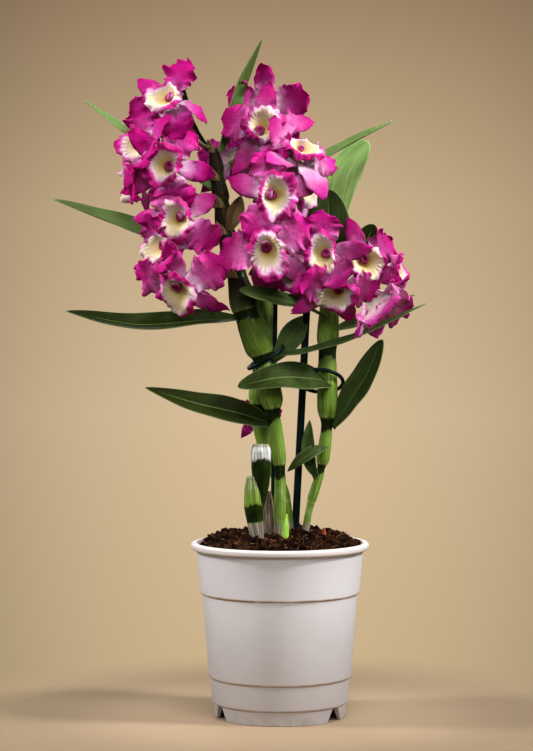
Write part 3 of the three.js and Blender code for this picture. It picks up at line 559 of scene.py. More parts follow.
def mixHeight(size, x, y):
    radius, angle = np.hypot(x, y), np.arctan2(y, x)
    reach = np.minimum(radius / size["rimRadius"], 1)
    crown = (size["crownHeight"] - size["edgeHeight"]) * (1 - reach ** 3)
    crown += size["rearRise"] * y * (1 - 0.6 * reach)
    lumps = np.sin(3 * angle + radius / 7) + 0.6 * np.sin(8 * angle - radius / 5)
    crumbs = np.sin(x * 1.9 + 3 * np.sin(y * 0.7)) * np.sin(y * 2.3 + 2 * np.sin(x * 0.9))
    crumbs += 0.7 * np.sin(x * 4.1 + y * 1.3) * np.sin(y * 3.7 - x * 0.8)
    crumbs *= np.minimum(1, (56 - radius) / 8)  # flatter at the wall
    lumps *= 2 * reach * (1.1 - reach)
    return size["edgeHeight"] + crown + size["lump"] * lumps + size["crumb"] * crumbs


def makeMixBody(size):
    radius, edge, floor = size["radius"], size["edgeHeight"], size["floor"]
    outline = [(0.3, floor), (size["foot"], floor), (radius - 0.6, edge - 2.5)]
    outline += [(radius * (1 - k / size["rings"]) + 0.2, edge) for k in range(size["rings"])]
    rings = turnedRings(outline, size["sides"])
    top = rings[3:]
    top[..., 2] = mixHeight(size, top[..., 0], top[..., 1])
    return settle(meshObject("pottingMix", [ringPart(rings)], skins["mix"]), "mix", "potting_mix")


def newTree(name, **inputs):  # a Geometry Nodes tree: itself, what adds nodes to it, and its inputs
    tree = bpy.data.node_groups.new(name, "GeometryNodeTree")
    for way in ("INPUT", "OUTPUT"):
        tree.interface.new_socket("Geometry", in_out=way, socket_type="NodeSocketGeometry")
    for label, value in inputs.items():
        kind = {int: "NodeSocketInt", float: "NodeSocketFloat"}.get(type(value), "NodeSocketMaterial")
        tree.interface.new_socket(label, in_out="INPUT", socket_type=kind).default_value = value
    add = partial(addNode, tree)
    return tree, add, add("NodeGroupInput").node.outputs


def grown(name, source, tree, **values):  # what the tree makes of the source, as a plain mesh
    modifier = source.modifiers.new("grow", "NODES")
    modifier.node_group = tree
    for item in tree.interface.items_tree:
        if item.in_out == "INPUT" and item.name in values:
            modifier[item.identifier] = values[item.name]
    return bakedObject(name, source)


def strewnTree():  # short bent bits, crumpled and turned at random, on the top of the mix
    tree, add, given = newTree("strewnBits", Density=1000.0, Length=0.004, Section=0.3, Lean=0.5, Bend=0.0,
                               Reach=0.05, Seed=1, Material=None)
    place = add("GeometryNodeInputPosition")
    upward = add("SeparateXYZ", add("GeometryNodeInputNormal"), give="Z")
    height = add("SeparateXYZ", place, give="Z")
    radius = add("VectorMath LENGTH", add("VectorMath MULTIPLY", place, (1, 1, 0)), give="Value")
    where = given["Geometry"]
    for value, operation, bound in ((height, "GREATER_THAN", 0.114), (upward, "GREATER_THAN", 0.2),
                                    (radius, "LESS_THAN", given["Reach"])):
        test = add("FunctionNodeCompare", value, bound, data_type="FLOAT", operation=operation)
        where = add("GeometryNodeSeparateGeometry", where, test, domain="FACE")
    spots = add("GeometryNodeDistributePointsOnFaces", distribute_method="RANDOM", Mesh=where,
                Density=given["Density"], Seed=given["Seed"])

    def wander(scale, amount):  # a lasting random offset for each place
        cloud = add("TexNoise", Vector=place, Scale=scale, Detail=1.0, give="Color")
        centred = add("VectorMath SUBTRACT", cloud, (0.5, 0.5, 0.5))
        return add("VectorMath SCALE", centred, Scale=amount)

    line = add("GeometryNodeMeshLine", Count=7, Offset=(1 / 6, 0, 0), mode="OFFSET")
    line = add("GeometryNodeSetPosition", Geometry=line, Offset=(-0.5, 0, 0))
    curve = add("GeometryNodeMeshToCurve", Mesh=line)
    curve = add("GeometryNodeSetPosition", Geometry=curve, Offset=wander(2.2, given["Bend"]))
    section = add("GeometryNodeCurvePrimitiveCircle", Resolution=5, Radius=given["Section"])
    bit = add("GeometryNodeCurveToMesh", Curve=curve, Profile_Curve=section, Fill_Caps=True)
    crumpled = wander(3.0, add("Math MULTIPLY", given["Section"], 1.6))
    bit = add("GeometryNodeSetPosition", Geometry=bit, Offset=crumpled)
    lean = given["Lean"]
    leanBack = add("Math MULTIPLY", lean, -1.0)
    turn = add("FunctionNodeRandomValue", add("CombineXYZ", leanBack, leanBack, 0.0),
               add("CombineXYZ", lean, lean, fullTurn), Seed=given["Seed"], data_type="FLOAT_VECTOR")
    size = add("FunctionNodeRandomValue", (0.45, 0.5, 0.5), (1.3, 1.3, 1.1), data_type="FLOAT_VECTOR",
               Seed=add("Math ADD", given["Seed"], 7.0))
    size = add("VectorMath SCALE", size, Scale=given["Length"])
    bits = add("GeometryNodeInstanceOnPoints", Points=spots, Instance=bit, Rotation=turn, Scale=size)
    real = add("GeometryNodeRealizeInstances", bits)
    add("NodeGroupOutput", add("GeometryNodeSetMaterial", Geometry=real, Material=given["Material"]))
    return tree


mixBody = makeMixBody(mixSize)
bitsTree = strewnTree()
for name, (skin, count, length, section, lean, bend, seed) in strewn.items():
    ground, area = newObject(name + "Ground", mixBody.data.copy()), math.pi * (mixSize["radius"] * mm) ** 2
    bits = grown(name, ground, bitsTree, Density=count / area, Length=length * mm, Section=section, Lean=lean,
                 Bend=bend, Reach=(mixSize["radius"] - 0.4 * length) * mm, Seed=seed, Material=skins[skin])
    settle(bits, "mix")
print("potting mix made")

# stakes and rings: round bars along a curve

stakes = {
    "stake_thick": {"foot": (5.6, 7.1, 30), "head": (20.6, 10.4, 325), "radius": 2.5},
    "stake_thin": {"foot": (-6, 3, 40), "head": (-2.8, 3, 300), "radius": 1.5},
}
stakeShape = [  # share of the length, share of the radius
    (0, 1), (0.2, 1), (0.4, 1), (0.6, 1), (0.8, 1), (0.985, 1), (0.992, 0.9), (0.997, 0.7), (1, 0.35),
]
rings = {
    "ring_left": {"middle": (-9.5, 2, 242), "across": (11.5, -3, 7.5), "along": (-1, 20.5, 1), "radius": 1.3},
    "ring_right": {"middle": (27, 4.5, 226), "across": (15.5, 0, -1), "along": (0, 10.5, -8), "radius": 1.3},
}


def barTree():
    tree, add, given = newTree("roundBar", Sides=20, Radius=0.001, Material=None)
    section = add("GeometryNodeCurvePrimitiveCircle", Resolution=given["Sides"], Radius=given["Radius"])
    bar = add("GeometryNodeCurveToMesh", Curve=given["Geometry"], Profile_Curve=section, Fill_Caps=True)
    real = add("GeometryNodeRealizeInstances", add("GeometryNodeSetShadeSmooth", bar))
    add("NodeGroupOutput", add("GeometryNodeSetMaterial", Geometry=real, Material=given["Material"]))
    return tree


def makeBars(name, lines, radius, sides, skin, closed=False):  # each line: points in mm, shares of the radius
    data = bpy.data.curves.new(name, "CURVE")
    data.dimensions = "3D"
    for points, radii in lines:
        spline = data.splines.new("POLY")
        spline.points.add(len(points) - 1)
        for spot, place, share in zip(spline.points, points, radii):
            spot.co = (*[c * mm for c in place], 1)
            spot.radius = share
        spline.use_cyclic_u = closed
    line = newObject(name + "Line", data)
    return grown(name, line, bars, Sides=sides, Radius=radius * mm, Material=skins[skin])


bars = barTree()
for name, stake in stakes.items():
    foot, head = np.array(stake["foot"], float), np.array(stake["head"], float)
    line = [foot + (head - foot) * share for share, _ in stakeShape], [radius for _, radius in stakeShape]
    settle(makeBars(name + "Coated", [line], stake["radius"], 24, "steel"), "stake", name)
for name, ring in rings.items():
    turn = anglesRound(72)[:, None]
    middle, across, along = (np.array(ring[key], float) for key in ("middle", "across", "along"))
    line = middle + across * np.cos(turn) + along * np.sin(turn), np.ones(len(turn))
    settle(makeBars(name + "Coated", [line], ring["radius"], 14, "steel", closed=True), "stake", name)
print("stakes and rings made")

# canes: jointed stems in ribbed sheaths

caneForm = {
    "sides": 54, "rowsPerJoint": 26, "waist": 0.9, "shoulder": 0.3, "sheath": 0.3, "ribs": 17,
    "ribHeight": 0.1, "bandRise": 0.14, "mouth": 0.76, "cleft": 0.24,  # where a sheath ends, its V's depth
    "bareAbove": (144, 148),  # below this the sheaths close over the joints
}
canes = {  # the nodes: x, y, height and radius in mm
    "cane_left": [
        (-1, -10, 96, 3.4), (-0.5, -10, 127, 4), (0, -9, 165, 4.6), (-4, -8, 203, 7.5), (-11, -8, 240, 9.5),
        (-22, -8, 270, 9.2), (-29, -6, 298, 7.4), (-36, -3, 327, 6.4), (-39, -1, 345, 5.6),
        (-42, 0.5, 363, 5), (-44.5, 2, 382, 3.4),
    ],
    "cane_back": [
        (7.5, 5.5, 96, 3.4), (5, 8, 138, 4.2), (-7, 12, 175, 6), (-14, 12, 205, 7.5), (-10, 12.5, 245, 8),
        (-11, 15, 287, 7.8), (-12, 17, 320, 7), (-13, 18, 350, 6), (-14.5, 18, 375, 5), (-15, 18, 389, 3.6),
    ],
    "cane_right": [
        (13, 2, 96, 2.4), (20, 2, 140, 3), (27.5, 2, 166, 4.3), (31.5, 3, 195, 6.8), (32, 6, 245, 7.3),
        (34, 12, 281, 6.8), (39, 16, 321, 4.6),
    ],
}
browning = {"cane_left": (236, 292), "cane_back": (262, 330), "cane_right": (300, 380)}  # from and to heights


def canePart(name, nodes, form):
    spans = len(nodes) - 1
    stations = np.linspace(0, spans, spans * form["rowsPerJoint"] + 1)
    centres = splinePoints([node[:3] for node in nodes], stations)
    radii = np.array([node[3] for node in nodes], float)
    joint = np.minimum(stations.astype(int), spans - 1)
    share = stations - joint
    low = form["waist"] * np.minimum(radii[np.maximum(joint - 1, 0)], radii[joint])
    high = form["waist"] * np.minimum(radii[joint], radii[joint + 1])
    swell = np.where(share < form["shoulder"],
                     low + (radii[joint] - low) * smooth(0, form["shoulder"], share),
                     radii[joint] + (high - radii[joint]) * smooth(form["shoulder"], 1, share))
    turn = anglesRound(form["sides"])[None]
    raised = np.maximum(stations - form["bandRise"], 0)  # the sheaths start a little above the nodes
    joint = np.minimum(raised.astype(int), spans - 1)
    share = (raised - joint)[:, None]
    split = np.array([math.radians(-100 + 62 * draw(len(name) + k, 3)) for k in range(spans)])[joint]
    facing = np.maximum(np.cos(turn - split[:, None]), 0) ** 3
    joint, height = joint[:, None], centres[:, 2:]
    mouth = form["mouth"] + 0.04 * np.cos(turn * 2 + joint) - form["cleft"] * facing
    sheathed = 1 - smooth(mouth - 0.012, mouth + 0.012, share) * smooth(*form["bareAbove"], height)
    ribs = form["ribHeight"] * np.sin(form["ribs"] * turn + joint * 2.1)
    skin = sheathed * (form["sheath"] * (0.4 + 0.6 * smooth(0, 0.03, share)) + ribs) - 0.15
    tone = smooth(*browning[name], height)
    teeth = bell(share, 0.015, 0.03) * (1 - 0.8 * tone)
    around = np.sin(turn) * 0.5 + turn / fullTurn
    rings = tubeRings(centres, swell[:, None] + skin, form["sides"])
    return ringPart(rings, 0, sheathed, around, tone, teeth)


for name, nodes in canes.items():
    settle(meshObject(name + "Sheathed", [canePart(name, nodes, caneForm)], skins["cane"]), "cane", name)
print("canes made")

# short growths at the foot: bare gives the heights between which one has no sheath, dry its dryness by height

growths = {
    "cut_cane": {"skin": "cane", "stems": [
        {"knots": [(-15, -17, 100, 4.6), (-15, -17, 120, 4.2), (-16.5, -18, 133, 5.6), (-17.5, -18, 142, 6.4),
                   (-18, -18.5, 155, 5.6), (-18.5, -19, 163, 3.6)],
         "bare": (132.5, 144), "dry": [(131, -1), (134, 0), (150, 0), (163, -0.55)]},
        {"knots": [(-14, -17, 142, 3.4), (-12.5, -18, 158, 5.6), (-12.6, -18.5, 168, 6.5),
                   (-12.6, -18.5, 180, 6.7), (-12.6, -18.5, 184.5, 5.2)],
         "bare": (120, 174), "dry": [(173, -1.2), (176, -2), (182, -2), (184.5, -0.6)]}]},
    "dead_stub": {"skin": "husk", "stems": [{"knots": [
        (-7, -3, 100, 3.4), (-7, -3, 118, 3.8), (-7.6, -2.6, 134, 3.9), (-8, -2.6, 147, 3),
        (-8, -2.6, 152, 1.6)]}]},
    "new_shoot": {"skin": "shoot", "stems": [{"knots": [
        (3, -20.5, 104, 2.4), (3, -20.5, 120, 2.9), (3.6, -19.6, 130, 2.4), (4.4, -19, 138, 0.7)]}]},
    "red_bud": {"skin": "bud", "stems": [{"knots": [
        (29.5, -2, 108, 2), (29.5, -2, 119, 2.4), (29.6, -2.2, 122.5, 1.7), (29.8, -2.4, 127, 0.6)]}]},
}


def growthPart(knots, bare=(0, 0), dry=((0, 0),), sides=40, rows=60):
    spans = len(knots) - 1
    stations = np.linspace(0, spans, rows)
    centres = splinePoints([knot[:3] for knot in knots], stations)
    radii = np.interp(stations, range(spans + 1), [knot[3] for knot in knots])
    turn = anglesRound(sides)
    ribs = 0.2 * np.sin(11 * turn) * smooth(0, 0.4, stations)[:, None]
    height = centres[:, 2:] * np.ones_like(turn)
    torn = 1.2 * np.sin(2 * turn + 1) + 0.5 * np.sin(9 * turn)
    sheathed = 1 - smooth(bare[0] - 0.4, bare[0] + 0.4, height) * (
        1 - smooth(bare[1] - 0.4, bare[1] + 0.4, height + torn))
    rings = tubeRings(centres, radii[:, None] - 0.25 + ribs + 0.2 * sheathed, sides)
    return ringPart(rings, 0, sheathed, turn / fullTurn, np.interp(height, *zip(*dry)))


for name, growth in growths.items():
    parts = [growthPart(**stem) for stem in growth["stems"]]
    settle(meshObject(name + "Skin", parts, skins[growth["skin"]]), growth["skin"], name)
print("growths made")

# leaves: face says which way a blade's upper side looks at its root and at its tip

leafForm = {"rows": 60, "columns": 18, "thickness": 0.75, "rootWidth": 5, "tipWidth": 0.5, "taper": 0.75,
            "wave": 0.35, "waves": 3, "rib": 0.35}
leafKeys = ("path", "face", "fold", "width", "fullest", "tone", "taper")
# the tone of each blade is its lightness: partly its own colour, partly painted shade and light
leaves = [dict(zip(leafKeys, row)) for row in (
    ([(-40, 2, 350), (-62, 14, 366), (-90, 22, 383), (-133, 15, 416)], [(0.3, -0.5, 0.9), (0.5, -0.6, 0.6)],
     0.5, 17, 0.45, 0.43),
    ([(-36, -2, 320), (-62, 2, 317), (-111, 8, 332), (-152, 0, 348)], [(0, -0.5, 1), (0.1, -0.45, 1)],
     0.45, 25, 0.5, 0.32),
    ([(-22, -7, 268), (-50, -14, 267), (-95, -16, 264), (-143, -8, 273)], [(0, -0.5, 1), (0, -0.7, 1)],
     0.35, 23, 0.5, 0.01),
    ([(-4, -8, 197), (-27, -16, 205), (-57, -18, 212), (-90, -12, 222)], [(0.1, -1, 0.5), (0.1, -0.9, 0.9)],
     0.3, 20, 0.45, -0.06),
    ([(-43, 2, 376), (-35, 7, 402), (-28, 8, 425), (-12, 2, 456)], [(0.9, -0.5, 0), (0.7, -0.7, -0.1)],
     0.6, 15, 0.45, 0.25),
    ([(-44, 2, 377), (-57, 1, 396), (-62, -1, 413), (-66, -4, 433)], [(-0.7, -0.7, 0), (-0.6, -0.7, 0)],
     0.6, 9, 0.4, 0.05),
    ([(-13, 18, 352), (4, 22, 361), (40, 16, 382), (76, 8, 401)], [(0, -0.6, 1), (0, -0.5, 1)],
     0.5, 14, 0.55, 0.46),
    ([(38, 18, 306), (38, 24, 338), (46, 27, 368), (60, 25, 389)], [(-0.3, -1, 0), (-0.4, -0.9, 0.3)],
     0.3, 25, 0.65, 0.97, 0.5),
    ([(37, 12, 290), (35, 6, 314), (33, 4, 334), (32, 5, 355)], [(-0.2, -1, 0), (-0.1, -1, 0.2)],
     0.25, 30, 0.6, 0.06, 0.55),
    ([(39, 16, 302), (50, 22, 312), (59, 24, 321), (64, 23, 332)], [(0, -1, 0.2), (0, -1, 0.4)],
     0.3, 18, 0.6, 0.0, 0.5),
    ([(34, 9, 259), (52, 12, 264.5), (72, 10, 273), (91, 8, 284)], [(0, -0.6, 1), (0, -0.7, 1)],
     0.4, 15, 0.5, 0.3),
    ([(-7, -8, 243), (17, -17, 246), (50, -20, 256), (97, -14, 278)], [(0, -0.6, 1), (0, -0.5, 1)],
     0.4, 9, 0.45, 0.1),
    ([(33, 6, 268), (13, -13, 277), (-7, -23, 282), (-27, -28, 287)], [(0, -0.7, 1), (-0.1, -0.8, 1)],
     0.3, 19, 0.6, 0.1, 0.6),
    ([(-7, -5, 236), (2, 0, 248), (9, 5, 258), (18, 10, 270)], [(0.3, -1, 0.3), (0.2, -1, 0.3)],
     0.3, 17, 0.6, 0.2),
    ([(34, 2, 225), (21, -13, 228), (0, -21, 229), (-28, -24, 223)], [(0, -1, 0.7), (-0.1, -0.9, 0.9)],
     0.25, 24, 0.5, 0.045, 0.5),
    ([(36, 3, 194), (46, 0, 211), (57, -2, 228), (69, -4, 254)], [(-0.6, -0.8, 0.5), (-0.5, -0.8, 0.5)],
     0.3, 22, 0.55, 0.11, 0.55),
    ([(25, 1, 160), (20, -6, 172), (19, -8, 186), (20, -7, 200)], [(-0.1, -1, 0.1), (-0.1, -1, 0.1)],
     0.4, 10, 0.5, 0.12),
    ([(31, 0, 182), (23, -11, 179), (13, -14, 173), (5, -13, 166)], [(0, -0.7, 1), (0, -1, 0.4)],
     0.4, 10, 0.4, 0.05),
)]


def halfWidth(u, form):
    rise = u ** (math.log(0.5) / math.log(form["fullest"]))
    swell = form["width"] / 2 * np.sin(np.pi * rise).clip(0) ** form["taper"]
    return np.maximum.reduce([swell, form["rootWidth"] / 2 * (1 - u), np.full_like(u, form["tipWidth"] / 2)])


def leafPart(leaf, index):
    form = {**leafForm, **leaf}
    u = np.linspace(0, 1, form["rows"]) ** 0.95
    spine = splinePoints(form["path"], u * (len(form["path"]) - 1))
    tangent = unit(np.gradient(spine, axis=0))
    face = np.outer(1 - u, form["face"][0]) + np.outer(u, form["face"][1])
    across = unit(np.cross(tangent, face))
    normal = unit(np.cross(across, tangent))
    half = halfWidth(u, form)[:, None]
    u, v = u[:, None], np.linspace(-1, 1, form["columns"] + 1)[None]
    folded = np.sqrt(v ** 2 + 0.03) - math.sqrt(0.03)  # with a rounded crease
    phase = 3 * draw(index + 1, 5)
    wave = np.sin(np.pi * u) * v ** 2 * np.sin(fullTurn * form["waves"] * u + phase + 1.7 * (v > 0))
    rib = bell(v, 0, 0.09) * (1 - u)
    lift = folded * half * math.sin(form["fold"]) + form["wave"] * wave - form["rib"] * rib
    grid = spine[:, None] + across[:, None] * (v * half * math.cos(form["fold"]))[..., None]
    grid += normal[:, None] * lift[..., None]
    thickness = form["thickness"] * (1 - 0.45 * v ** 2) * np.ones_like(u)
    return sheetPart(grid[:, ::-1], thickness, u, v, form["tone"])


for index, leaf in enumerate(leaves):
    name = f"leaf_{index + 1:02d}"
    settle(meshObject(name + "Blade", [leafPart(leaf, index)], skins["leaf"]), "leaf", name)
print("leaves made")

# blooms: each has three sepals, two petals, a lip and a column

flower = {
    "rootRadius": 3, "depth": 12, "edgeLag": 2, "thickness": 0.45,
    "sepal": {
        "length": 35, "width": 15, "rootWidth": 3.6, "tipWidth": 0.4, "fullest": 0.5, "taper": 0.7,
        "lift": 14, "curl": -40, "back": -2.2, "cup": 0, "wave": 0.7, "waves": 1.5, "roll": 0.25, "jag": 0.02,
        "ruffles": [(2.9, 1.1, 2.5), (6.1, 0.5, 4)], "columns": 10, "rows": 28,
    },
    "petal": {
        "length": 31, "width": 27, "rootWidth": 3.6, "tipWidth": 0.8, "fullest": 0.6, "taper": 0.58,
        "lift": 32, "curl": -25, "back": -0.8, "cup": 0.05, "wave": 3, "waves": 2.2, "roll": 0.35,
        "jag": 0.06, "ruffles": [(4.1, 2.6, 2.5), (8.3, 1.6, 4), (14.5, 0.75, 6)], "columns": 22, "rows": 44,
    },
    "tepals": [("sepal", 90), ("sepal", 230), ("sepal", 310), ("petal", 18), ("petal", 162)],  # with angles
    "bends": [0, -14, 14, -28, 28, -42, 42, -58],
    "lipSides": 96, "lipWave": 1.6, "lipWaves": 3, "brimRadius": 9,
    "lipFront": [
        (2.3, 5.4), (4.0, 6.0), (5.6, 7.0), (7.0, 8.3), (8.2, 9.5), (9.2, 10.3), (10.2, 10.9), (11.2, 11.1),
        (12.2, 10.9), (13.2, 10.4), (14.2, 9.7)],
    "lipBack": [
        (2.4, -4.2), (3.4, -3.2), (4.0, -1), (4.4, 0.8), (5.8, 3.4), (7.2, 5.8), (8.6, 8.0), (9.9, 9.7),
        (11.2, 10.4), (12.3, 10.2), (13.3, 9.7), (14.1, 9.2)],
    "column": [
        (0.3, 4.8), (2.4, 5.0), (2.9, 6.2), (3.3, 7.6), (3.5, 8.6), (3.4, 9.3), (3.1, 9.75), (2.6, 10.1),
        (2.0, 10.35), (1.3, 10.5), (0.7, 10.58), (0.2, 10.6)],
    "columnFoot": (0, 1, 4.8), "columnLean": 0.66, "columnSides": 32,
    "lobe": {"half": (2.5, 0.85, 0.55), "aside": 0.95, "height": 9.65, "rows": 12, "sides": 16},
}
usual = {  # fullness of sepals and petals, length, size of the column, the lip's width and height, painted light and shade
    "sepal": 1, "petal": 1, "longer": 1, "column": 1, "lip": (1, 1), "bright": 1,
    "lobed": False,  # whether the two pale lobes in the column show
    "bends": None,  # degrees by which each tepal bends, where it isn't picked by its neighbours
}
bloomKeys = ("mouth", "azim", "elev", "roll", "size", "cane", "node")
blooms = [{**usual, **dict(zip(bloomKeys, row)), **own} for *row, own in (
    ((-77, -25, 416), -25, 30, 82, 0.9, "cane_left", 10, {"bright": 0.8, "lobed": True}),
    ((-96, -25, 384), -35, 10, 60, 0.9, "cane_left", 9, {"bright": 0.9}),
    ((-76, -38, 369), -10, 0, 100, 0.95, "cane_left", 9, {"lip": (1.05, 0.95)}),
    ((-68, -35, 334), -10, 0, 50, 0.9, "cane_left", 8, {"pale": 0.15, "bright": 1.3, "lobed": True}),
    ((-82, -29, 316), -40, 10, 60, 0.85, "cane_left", 7, {"bright": 0.8}),
    ((-69, -35, 285), -25, -25, 0, 1, "cane_left", 6, {"bright": 1.25}),
    ((-60, 20, 290), 160, 5, 20, 0.75, "cane_left", 6, {}),
    ((-103, -8, 362), -65, 0, 30, 0.95, "cane_left", 8, {"bright": 1.35}),
    ((-88, 4, 402), -120, 10, 0, 0.8, "cane_left", 10, {"bright": 1.25}),
    ((-12, -20, 396), -5, 12, 220, 0.95, "cane_back", 9, {"bright": 0.93}),
    ((-9, 16, 411), 178, 10, 0, 0.95, "cane_back", 9, {"bright": 1.1}),
    ((16, -25, 383), 35, 45, 30, 0.9, "cane_back", 8, {
        "pale": 0.5, "bright": 0.88, "column": 0.62, "sepal": 1.5, "petal": 1.1, "lip": (1.2, 0.72)}),
    ((-3, -45, 349), 0, 0, -76, 1, "cane_back", 7, {"bright": 1.18, "lip": (1.3, 0.82), "lobed": True}),
    ((21, -13, 356), 50, 5, 20, 0.95, "cane_back", 7, {"pale": 0.6, "sepal": 1.25}),
    ((-9, -45, 312), -10, -5, -12, 1, "cane_back", 6, {"bright": 1.1, "lip": (0.95, 1.12)}),
    ((8, -24, 298), 5, -10, 20, 0.8, "cane_back", 5, {"pale": 0.1}),
    ((28, -37, 311), 0, 0, 80, 0.9, "cane_right", 6, {"bright": 0.76, "lip": (1.12, 0.85)}),
    ((38, -30, 283), 5, -30, 20, 0.9, "cane_right", 5, {"bright": 1.15, "lip": (1.1, 0.95)}),
    ((57, -25, 306), 5, 5, -25, 0.85, "cane_right", 6, {"bright": 0.72}),
    ((81, -11, 299), 65, 5, 0, 0.8, "cane_right", 6, {"pale": 0.35, "bright": 1.2}),
    ((70, -16, 272), 60, -40, 0, 1, "cane_right", 5, {
        "pale": 0.8, "bright": 1.15, "sepal": 1.25, "petal": 1.25, "longer": 0.86, "lip": (0.65, 0.6),
        "bends": (52, 70, 60, 56, 72)}),
    ((-15, 35, 203), 178, 10, 0, 0.5, "cane_back", 3, {}),
    ((-30, 22, 376), 172, 10, 0, 0.8, "cane_back", 8, {}),
)]


def bloomFrame(bloom):  # the ways of its mouth, its top and its right
    a, e, r = (math.radians(bloom[key]) for key in ("azim", "elev", "roll"))
    forward = np.array([math.sin(a) * math.cos(e), -math.cos(a) * math.cos(e), math.sin(e)])
    level = unit(np.array([0, 0, 1.0]) - forward * math.sin(e))
    dorsal = level * math.cos(r) + np.cross(level, forward) * math.sin(r)
    return forward, dorsal, np.cross(dorsal, forward)


def bloomRoot(bloom):
    return np.array(bloom["mouth"]) - bloomFrame(bloom)[0] * flower["depth"] * bloom["size"]


def placed(points, bloom):  # from the bloom's own axes to the row frame
    forward, dorsal, right = bloomFrame(bloom)
    turned = points[..., :1] * right + points[..., 1:2] * dorsal + points[..., 2:] * forward
    return bloomRoot(bloom) + turned * bloom["size"]


def tepalGrid(form, angle, seed, bend, u, v):
    lift = math.radians(form["lift"] + 5 * draw(seed, 1) + bend / 2)
    curl = math.radians(form["curl"] + 18 * draw(seed, 2) + bend)
    turn = math.radians(angle + 7 * draw(seed, 3))
    length = form["length"] * (1 + 0.06 * draw(seed, 4))
    phase = math.pi * draw(seed, 6)
    out, forward = np.array([math.cos(turn), math.sin(turn), 0]), np.array([0, 0, 1.0])
    flat = np.cross(forward, out)
    half = halfWidth(u, form)[:, None]
    u, v = u[:, None], v[None]
    lean = lift + (curl - lift) * u
    run = length * (np.sin(lean) - math.sin(lift)) / (curl - lift)
    rise = length * (math.cos(lift) - np.cos(lean)) / (curl - lift)
    tangent = np.cos(lean) * out + np.sin(lean) * forward
    twist = 0.35 * draw(seed, 5) * u
    across = flat * np.cos(twist) + np.cross(tangent, flat) * np.sin(twist)
    normal = np.cross(tangent, across)
    right, edge = v > 0, np.abs(v)
    full = np.sin(np.pi * np.minimum(u, 0.8)) ** 0.7
    beat = np.sin(fullTurn * form["waves"] * u + phase + flower["edgeLag"] * right)
    raised = edge ** 2 * (form["cup"] * half + form["wave"] * np.sin(np.pi * u) * beat)
    for k, (count, height, power) in enumerate(form["ruffles"]):
        ripple = fullTurn * count * u + math.pi * draw(seed, 10 + k) + (2.4 + draw(seed, 14 + k)) * right
        raised = raised + edge ** power * height * full * np.sin(ripple)
    rolled = form["roll"] * np.where(right, draw(seed, 21), draw(seed, 22)) - 0.1
    raised = raised + edge ** 5 * half * rolled * full
    raised = raised - 0.35 * bell(v, 0, 0.1) * (1 - u)  # the channel along the midrib
    ragged = np.sin(17 * u + 5 * phase + 2 * right) + 0.7 * np.sin(37 * u + 3 * phase + right)
    wide = v * half * (1 + form["jag"] * ragged * edge)
    tip = 0.06 * length * np.sin(2.5 * v + 4 * phase) * u ** 4 * edge
    spine = out * (flower["rootRadius"] + run) + forward * (rise + form["back"])
    return (spine[:, None] + across[:, None] * wide[..., None] + normal[:, None] * raised[..., None]
            + tangent[:, None] * tip[..., None])


def crowding(points, bloom):  # a cost for the points that stand in or before the mouths of the other blooms
    cost = 0
    for other in blooms:
        if other is not bloom:
            forward = bloomFrame(other)[0]
            offset = (points - bloomRoot(other)) / other["size"]
            ahead = offset @ forward
            aside = np.linalg.norm(offset - ahead[:, None] * forward, axis=1)
            cost += 9 * int(((aside < 12.5) & (ahead > 1) & (ahead < 24)).sum())
            cost += 36 * int(((aside < 9) & (ahead > -1) & (ahead < 15)).sum())
    return cost


def bendOf(bloom, surface, form, angle, seed):  # clear of the mouths, and near to the frame's own bloom
    u, v = np.linspace(0.25, 0.98, 7), np.array([-0.95, -0.5, 0.0, 0.5, 0.95])

    def cost(bend):
        points = placed(tepalGrid(form, angle, seed, bend, u, v), bloom).reshape(-1, 3)
        apart = sum(surface.find_nearest(Vector(point * mm))[3] for point in points) / mm
        return apart + crowding(points, bloom)

    return min(flower["bends"], key=cost)


def evenOutline(outline, count):  # points at even steps along an outline, and the steps
    outline = np.array(outline)
    reach = np.concatenate([[0], np.cumsum(np.linalg.norm(np.diff(outline, axis=0), axis=1))])
    steps = np.linspace(0, 1, count)
    return np.stack([np.interp(steps * reach[-1], reach, outline[:, k]) for k in (0, 1)], axis=-1), steps


